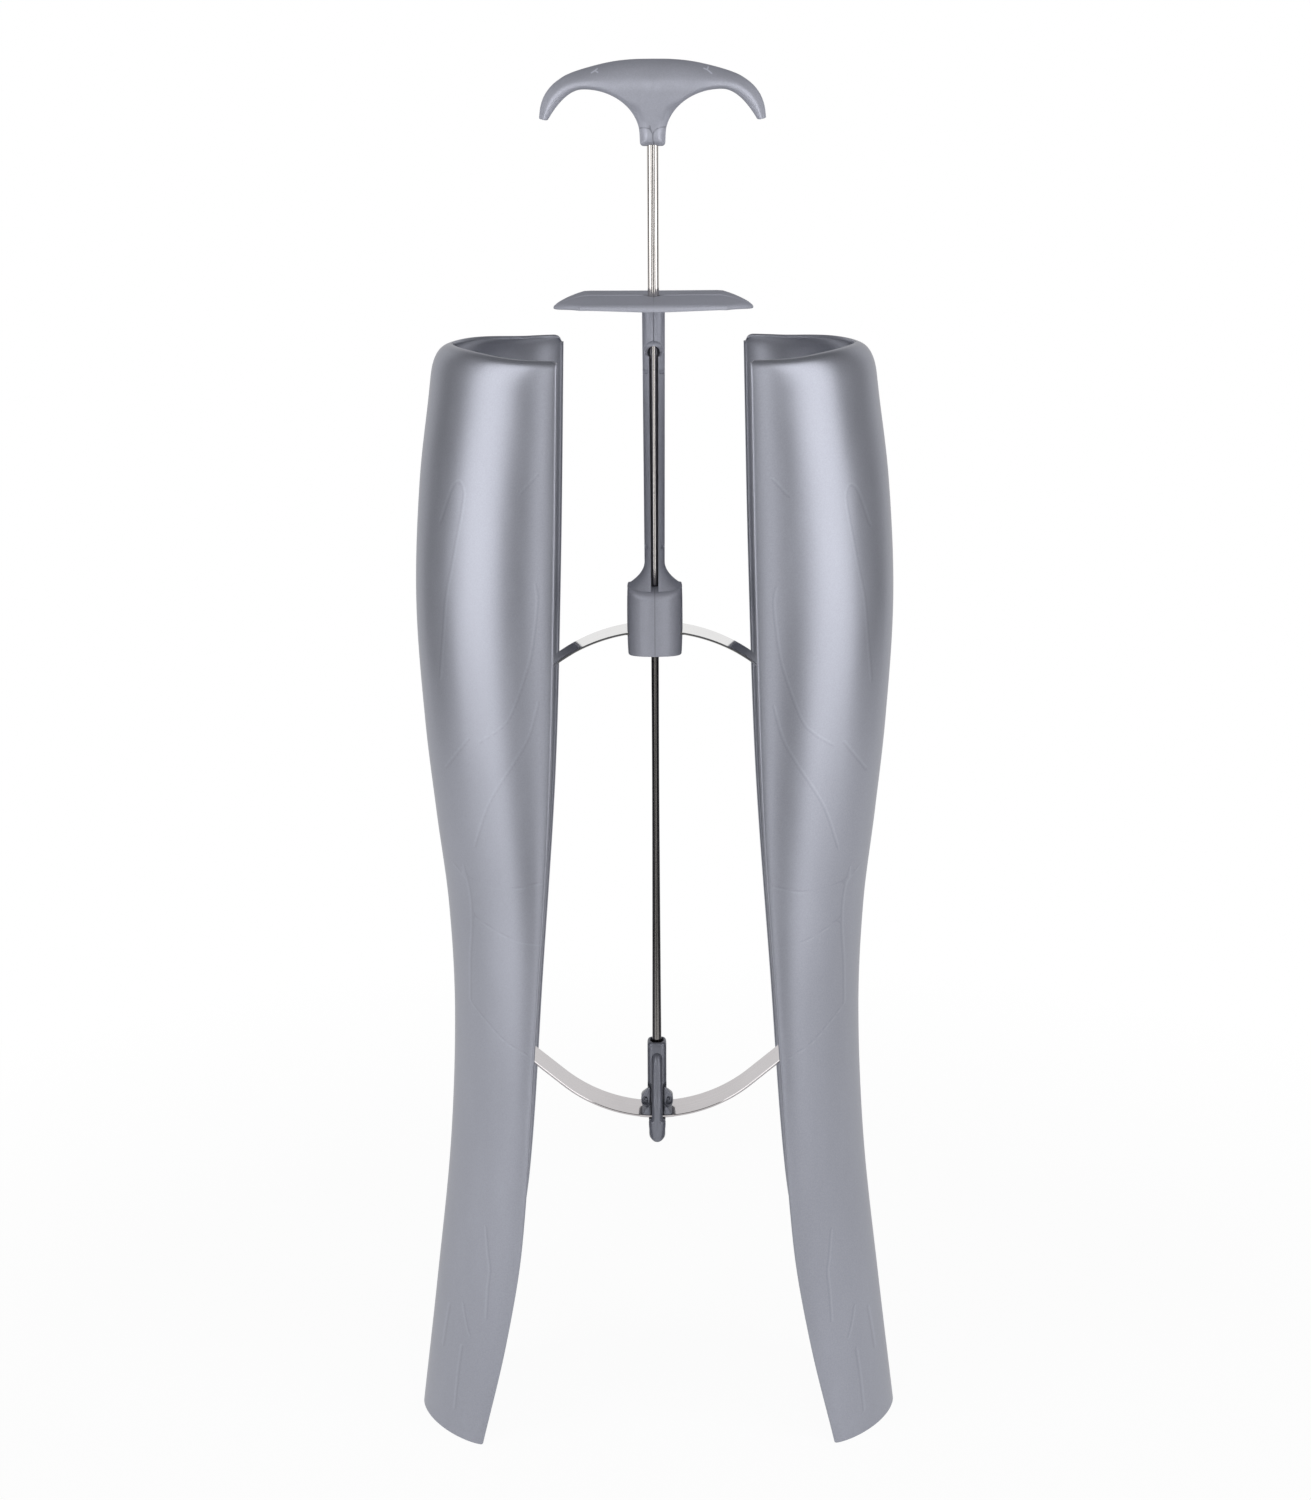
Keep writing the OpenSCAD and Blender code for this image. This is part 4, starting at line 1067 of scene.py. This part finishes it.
class BOOTSHAPER_OT_slider(bpy.types.Operator):
    """Builds the slider: finger plate, guide tube and block in one moulding"""
    bl_idname = "boot_shaper.slider"
    bl_label = "Slider"

    def execute(self, context):
        parts = [plate_solid(), tube_solid(), block_solid()]
        points = np.concatenate([p for p, _ in parts])
        above = points[:, 2] > SLIDER_HIGH[2] - 6
        # Painted highlight: a thin light line along the plate's middle ridge
        ridge_highlight_lines = [[(side * x, 0) for x in (34, 19, 3)] for side in (-1, 1)]
        ridge = line_marks(points[:, :2], above, ridge_highlight_lines, 2.0)
        nick = line_marks(points[:, :2], above, [[(0.2, -22), (0.2, -12), (0.2, -2)]], 2.0)
        face = ~above & (points[:, 1] < -3)
        seam = [[(0, SLIDER_LOW[2] + h) for h in (0, 11, BLOCK_H)]]
        block = line_marks(points[:, [0, 2]], face, seam, 2.0)
        marks = drawn_lines([(ridge, RIDGE_HIGHLIGHT_TONE), (nick, SEAM_TONE), (block, SEAM_TONE)])
        obj = piece("finger_slider", parts, finish("grip"), 38, 0.002, marks)
        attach(obj, "slider")
        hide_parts("slider")
        return {"FINISHED"}


# Clip

def clip_sleeve():
    """Sleeve round the rod: rounded rectangles from the strip up to a rolled top, with a socket for
    the rod sunk into it and a small nick at the front corners above the ears."""
    top, low = CLIP_HIGH[2] - 0.8, LOWER_Z + 0.1
    n, nick = 64, LOWER_Z + 11.0
    rows = []
    heights = np.sort(np.concatenate([np.linspace(low, top - 1.4, 14),
                                      nick + np.array([-0.75, -0.65, 0.65, 0.75])]))
    for z in heights:
        deep = mix(5.2, 3.9, smooth(z, low + 6, low + 18))
        ring = superellipse(mix(3.7, 3.55, smooth(z, low, low + 12)), deep, 4.5, n)
        if abs(z - nick) < 0.7:
            corner = (np.abs(ring[:, 0]) > 2.3) & (ring[:, 1] < -2.5)
            ring = np.where(corner[:, None], ring * (0.8, 0.8), ring)
        rows.append(at_height(ring, z))
    for a in np.radians([20, 45, 70, 90]):
        d = 0.9 * (1 - np.cos(a))
        rows.append(at_height(superellipse(3.55 - d, 3.9 - d, 4.5, n),
                              top - 1.4 + 1.4 * np.sin(a)))
    socket = superellipse(ROD_R + 0.45, ROD_R + 0.75, 2.6, n)
    rows.append(at_height(socket * 1.05, top - 0.05))
    rows.append(at_height(socket, top - 0.5))
    rows.append(at_height(superellipse(ROD_R + 0.3, ROD_R + 0.4, 2, n), top - 3.4))
    return loft(rows)


def clip_bar(sign):
    """Round bar carried along a bent line: out of the sleeve's face, over the edge of the strip and
    down into the nose. Below the strip it widens at once, and its end is a dome."""
    face = STRIP_W / 2 + 0.15
    line = np.array([(-1.8, LOWER_Z + 22.3), (-3.6, LOWER_Z + 21.4), (-5.0, LOWER_Z + 18.5),
                     (-6.2, LOWER_Z + 13.5), (-7.3, LOWER_Z + 8.6), (-8.6, LOWER_Z + 4.2),
                     (-face - 0.75, LOWER_Z + 0.2), (-face - 0.7, LOWER_Z - 4.5),
                     (-face - 0.3, CLIP_LOW[2] + 6.2)])
    s = np.linspace(0, 1, 72)
    share = np.linspace(0, 1, len(line))
    y, z = curve(share, line[:, 0], s), curve(share, line[:, 1], s)
    dy, dz = np.gradient(y), np.gradient(z)
    ny, nz = -dz / np.hypot(dy, dz), dy / np.hypot(dy, dz)
    half = mix(1.95, 2.1, smooth(s, 0, 0.3))
    half = mix(half, 3.15, smooth(z, LOWER_Z - 1.3, LOWER_Z - 1.7) * (z < LOWER_Z))
    half = half - 0.5 * smooth(z, LOWER_Z - 3, CLIP_LOW[2] + 5) * (z < LOWER_Z - 3)
    deep = 2.1
    t = np.arange(32) * 2 * np.pi / 32
    c, sn = np.cos(t), np.sin(t)
    rows = [np.stack([0.02 * sn, y[0] + 0.02 * c, z[0] + 0 * t], -1)]
    rows += [np.stack([half[k] * sn, y[k] + ny[k] * deep * c, z[k] + nz[k] * deep * c], -1)
             for k in range(len(s))]
    for a in np.radians([15, 30, 45, 60, 75, 87]):
        rows.append(np.stack([half[-1] * np.cos(a) * sn, y[-1] + deep * np.cos(a) * c,
                              z[-1] - 3.2 * np.sin(a) + 0 * t], -1))
    points, faces = loft(rows)
    return outward(points * (1, -sign, 1), faces)


def recessed(outline, y0, y1, centre, r, deep):
    """Solid with the (x, z) outline between two depths, with a round recess sunk into both faces:
    rings from the floor of one recess out over the face, round the rim, and in to the other
    floor."""
    edge, ring = 0.35, outline if area(outline) > 0 else outline[::-1]
    t = np.arctan2(ring[:, 1] - centre[1], ring[:, 0] - centre[0])
    hole = np.array(centre) + r * np.stack([np.cos(t), np.sin(t)], -1)
    floor, face = mix(hole, np.array(centre), 0.15), mix(hole, ring, 0.1)
    rim, bend = inset(ring, edge), inset(ring, 0.3 * edge)
    steps = ((deep, floor), (0.15, hole), (0, face), (0, rim), (0.3 * edge, bend), (edge, ring))
    rows = [at_depth(flat, y0 + d) for d, flat in steps]
    rows += [at_depth(flat, y1 - d) for d, flat in steps[::-1]]
    return loft(rows)


def clip_ear():
    """Right ear on the strip: a rounded ear with a deep round recess and a knob in it at front and
    back, on a splayed foot with a raised wedge."""
    z0 = LOWER_Z
    ear, foot, wedge = (rounded([(x, z0 + h) for x, h in corners], bend) for corners, bend in (
        ([(2.4, 10.9), (3.6, 10.3), (4.9, 8.6), (5.8, 7.2), (6.05, 5.2), (5.7, 3.8), (4.7, 2.8),
          (2.4, 2.4)], 0.9),
        ([(2.4, 4.6), (3.4, 3.6), (4.3, 2.0), (5.6, 0.5), (5.6, 0.38), (4.0, 0.22),
          (2.4, 0.15)], 0.25),
        ([(2.6, 3.9), (3.9, 3.3), (5.1, 1.4), (3.0, 0.9)], 0.5)))
    centre, r, deep = (4.35, z0 + 5.3), 1.62, 5.7
    parts = [recessed(ear, -deep, deep, centre, r, 1.5), slab_xz(foot, -7.3, 7.3, 0.15),
             slab_xz(wedge, -7.65, 7.65, 0.25)]
    t = np.arange(24) * 2 * np.pi / 24
    knob, circle = (centre[0] - 0.35, centre[1] + 0.45), np.stack([np.cos(t), np.sin(t)], -1)
    for sign in (-1, 1):
        parts.append(loft([at_depth(knob + 0.85 * np.cos(a) * circle,
                                    sign * (deep - 1.55 + 1.1 * np.sin(a)))
                           for a in np.radians([0, 30, 60, 85])]))
    return [(lean_back(points, z0, deep), faces) for points, faces in parts]


def lean_back(points, base, deep):
    """Points with their height over base shrunk towards the back, so that the rear ear is a low
    one."""
    share = 1 - 0.42 * np.clip((points[:, 1] + deep) / (2 * deep), 0, 1)
    return np.column_stack([points[:, :2], base + (points[:, 2] - base) * share])


NOSE_ROUND = 12


def clip_nose():
    """Nose below the strip, between the two bars: a rounded block whose underside curves up to the
    front and the back."""
    top = LOWER_Z - STRIP_T - 0.1
    r, long = 3.0, STRIP_W / 2 + 1.0
    rows = []
    for y in np.linspace(-long, long, 25):
        low = CLIP_LOW[2] + 0.85 + NOSE_ROUND - np.sqrt(NOSE_ROUND ** 2 - y ** 2)
        t = np.radians(np.linspace(180, 360, 25))
        ring = np.concatenate([np.stack([r * np.cos(t), low + r + r * np.sin(t)], -1),
                               [(3.0, top - 1.4), (3.1, top), (-3.1, top), (-3.0, top - 1.4)]])
        rows.append(at_depth(ring, y))
    return loft(rows)


class BOOTSHAPER_OT_clip(bpy.types.Operator):
    """Builds the clip that holds the lower strip on the end of the rod"""
    bl_idname = "boot_shaper.clip"
    bl_label = "Clip"

    def execute(self, context):
        ears = clip_ear()
        parts = [clip_sleeve(), clip_bar(-1), clip_bar(1), clip_nose()]
        parts += ears + [mirrored(p) for p in ears]
        obj = piece("foot_clip", parts, finish("clip"), 42)
        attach(obj, "rod_set")
        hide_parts("clip")
        dress("clip_pin", "pin")
        return {"FINISHED"}


# Stage

CAMERA_PITCH = 15.9
CAMERA_ROLL = 0.27
CAMERA_PLACE = (0.0, -979.2, 541.0)
FOCAL_PX = 2800.0
IMAGE_TALL_PX = 1500.0
SENSOR = 36.0
LAMP_AIM = (0.0, 0.0, 0.25)
# Azimuth and lift in degrees and distance in metres, size in metres, watts, lean in degrees
SOFTBOX = ((61, 9, 1.6), (0.95, 2.4), 17.5, 12)
STRIP_LIGHT = ((19, 10, 1.5), (0.3, 2.0), 3.9, 0)
TABLE_X = [-900.0, -450, 0, 450, 900]
TABLE_Y = [-380.0, 0, 600, 1400, 2200]


def pale_stage(name, shade, near_glow, near, far):
    """Matt white paper. The camera, mirrors and glass see it white away from the object, and nearly
    white close to it, where it still takes the object's soft shadow."""
    material, tree = new_material(name)
    path = add(tree, "ShaderNodeLightPath")
    seen = (path, "Is Camera Ray")
    for ray in ("Is Glossy Ray", "Is Transmission Ray"):
        seen = add(tree, MATH, {0: seen, 1: (path, ray)}, operation="ADD", use_clamp=True)
    place = add(tree, "ShaderNodeTexCoord")
    away = add(tree, "ShaderNodeVectorMath", {0: (place, "Object")}, operation="LENGTH")
    bright = add(tree, RANGE, {"Value": (away, "Value"), **span(near, far, near_glow, 1.0)})
    share = add(tree, MATH, {0: seen, 1: bright}, operation="MULTIPLY")
    paper = add(tree, "ShaderNodeBsdfDiffuse", {"Color": (shade, shade, shade, 1)})
    glow = add(tree, "ShaderNodeEmission", {"Color": (1, 1, 1, 1), "Strength": 1.0})
    blend = add(tree, "ShaderNodeMixShader", {0: share, 1: paper, 2: glow})
    add(tree, "ShaderNodeOutputMaterial", {"Surface": blend})
    return material


def table_top():
    """Floor: a flat rectangle that reaches a little in front of the object and far behind it."""
    x, y = np.meshgrid(TABLE_X, TABLE_Y, indexing="ij")
    grid = np.stack([x, y, np.zeros_like(x)], -1)
    m, n, _ = grid.shape
    return grid.reshape(-1, 3), [f[::-1] for f in grid_faces(m, n, False, False)]


def area_lamp(name, place, size, power, lean):
    """Rectangular soft lamp at a place, turned to LAMP_AIM and leant to one side, in metres, watts
    and degrees."""
    data = bpy.data.lights.new(name, "AREA")
    data.shape = "RECTANGLE"
    data.size, data.size_y = size
    data.energy = power
    lamp = bpy.data.objects.new(name, data)
    bpy.context.scene.collection.objects.link(lamp)
    aimed = (Vector(LAMP_AIM) - Vector(place)).to_track_quat("-Z", "Y").to_matrix().to_4x4()
    lamp.matrix_world = (Matrix.Translation(place) @ aimed
                         @ Matrix.Rotation(radians(lean), 4, "Z"))


def studio_world():
    """World light: white to the camera everywhere, white behind the object up to a third of the sky
    for all other rays, and a dim room in front, at the sides and overhead."""
    world = bpy.data.worlds.new("studio_room")
    bpy.context.scene.world = world
    world.use_nodes = True
    tree = world.node_tree
    tree.nodes.clear()
    path = add(tree, "ShaderNodeLightPath")
    place = add(tree, "ShaderNodeTexCoord")
    split = add(tree, "ShaderNodeSeparateXYZ", {"Vector": (place, "Generated")})
    behind, low, high, front = (
        add(tree, RANGE, {"Value": (split, axis), **span(*ends)}) for axis, ends in (
            ("Y", (0.3, 0.65, 0.0, 1.0)), ("Z", (0.42, 0.8, 1.0, 0.0)),
            ("Z", (0.2, 0.8, 0.27, 0.15)), ("Y", (-0.98, -0.85, 0.45, 1.0))))
    backdrop = add(tree, MATH, {0: behind, 1: low}, operation="MULTIPLY")
    room = add(tree, MATH, {0: high, 1: front}, operation="MULTIPLY")
    room = add(tree, MATH, {0: room, 1: backdrop}, operation="MAXIMUM")
    mirror = add(tree, MATH, {0: (path, "Is Glossy Ray"), 1: (path, "Is Transmission Ray")},
                 operation="ADD", use_clamp=True)
    shown = add(tree, MATH, {0: mirror, 1: backdrop}, operation="MULTIPLY")
    shown = add(tree, MATH, {0: shown, 1: (path, "Is Camera Ray")}, operation="MAXIMUM")
    seen = add(tree, MATH, {0: room, 1: shown}, operation="MAXIMUM")
    back = add(tree, "ShaderNodeBackground", {"Color": (1, 1, 1, 1), "Strength": seen})
    add(tree, "ShaderNodeOutputWorld", {"Surface": back})


def lamp_place(side, azimuth, lift, far):
    """Place of a lamp that stands left (-1) or right (1) of the camera's line, seen from the middle
    of the object: an azimuth and a lift in degrees, and a distance in metres."""
    a, e = radians(azimuth), radians(lift)
    return (side * far * np.sin(a) * np.cos(e), -far * np.cos(a) * np.cos(e),
            LAMP_AIM[2] + far * np.sin(e))


class BOOTSHAPER_OT_stage(bpy.types.Operator):
    """Sets the pale floor and backdrop, the soft lamps and the camera"""
    bl_idname = "boot_shaper.stage"
    bl_label = "Studio"

    def execute(self, context):
        scene = context.scene
        paper = pale_stage("matt_white_paper", 0.93, 0.95, 0.25, 0.5)
        floor = piece("studio_table", [table_top()], paper, 60)
        studio_world()
        for side, name in ((-1, "left"), (1, "right")):
            for kind, lamp in (("softbox", SOFTBOX), ("strip_light", STRIP_LIGHT)):
                place, size, power, lean = lamp
                area_lamp(f"{name}_{kind}", lamp_place(side, *place), size, power, side * lean)
        data = bpy.data.cameras.new("view_camera")
        data.sensor_width = SENSOR
        data.sensor_fit = "AUTO"
        data.lens = FOCAL_PX / IMAGE_TALL_PX * SENSOR
        data.clip_end = 50
        camera = bpy.data.objects.new("view_camera", data)
        scene.collection.objects.link(camera)
        camera.matrix_world = (Matrix.Translation(Vector(CAMERA_PLACE) * MM)
                               @ Matrix.Rotation(radians(90 - CAMERA_PITCH), 4, "X")
                               @ Matrix.Rotation(radians(-CAMERA_ROLL), 4, "Z"))
        scene.camera = camera
        scene.view_settings.view_transform = "Standard"
        return {"FINISHED"}


class BOOTSHAPER_PT_panel(bpy.types.Panel):
    """Lists the pieces of the boot shaper"""
    bl_label = "Boot shaper"
    bl_space_type = "VIEW_3D"
    bl_region_type = "UI"
    bl_category = "Boot shaper"

    def draw(self, context):
        layout = self.layout
        for op in OPERATORS:
            layout.operator(op.bl_idname)
        for group in (context.scene.boot_shaper_sizes, context.scene.boot_shaper_colours):
            box = layout.box()
            for name in group.__annotations__:
                box.prop(group, name)


OPERATORS = (BOOTSHAPER_OT_shells, BOOTSHAPER_OT_strips, BOOTSHAPER_OT_handle,
             BOOTSHAPER_OT_slider, BOOTSHAPER_OT_clip, BOOTSHAPER_OT_stage)
CLASSES = (BootShaperSizes, BootShaperColours, *OPERATORS, BOOTSHAPER_PT_panel)


def register():
    """Adds the classes and the two groups of settings."""
    for cls in CLASSES:
        bpy.utils.register_class(cls)
    bpy.types.Scene.boot_shaper_sizes = PointerProperty(type=BootShaperSizes)
    bpy.types.Scene.boot_shaper_colours = PointerProperty(type=BootShaperColours)


def unregister():
    """Takes them away again."""
    del bpy.types.Scene.boot_shaper_sizes
    del bpy.types.Scene.boot_shaper_colours
    for cls in reversed(CLASSES):
        bpy.utils.unregister_class(cls)


def main():
    """Builds every piece and the stage."""
    register()
    bpy.ops.boot_shaper.shells()
    bpy.ops.boot_shaper.strips()
    bpy.ops.boot_shaper.handle()
    bpy.ops.boot_shaper.slider()
    bpy.ops.boot_shaper.clip()
    bpy.ops.boot_shaper.stage()


if __name__ == "__main__":
    main()
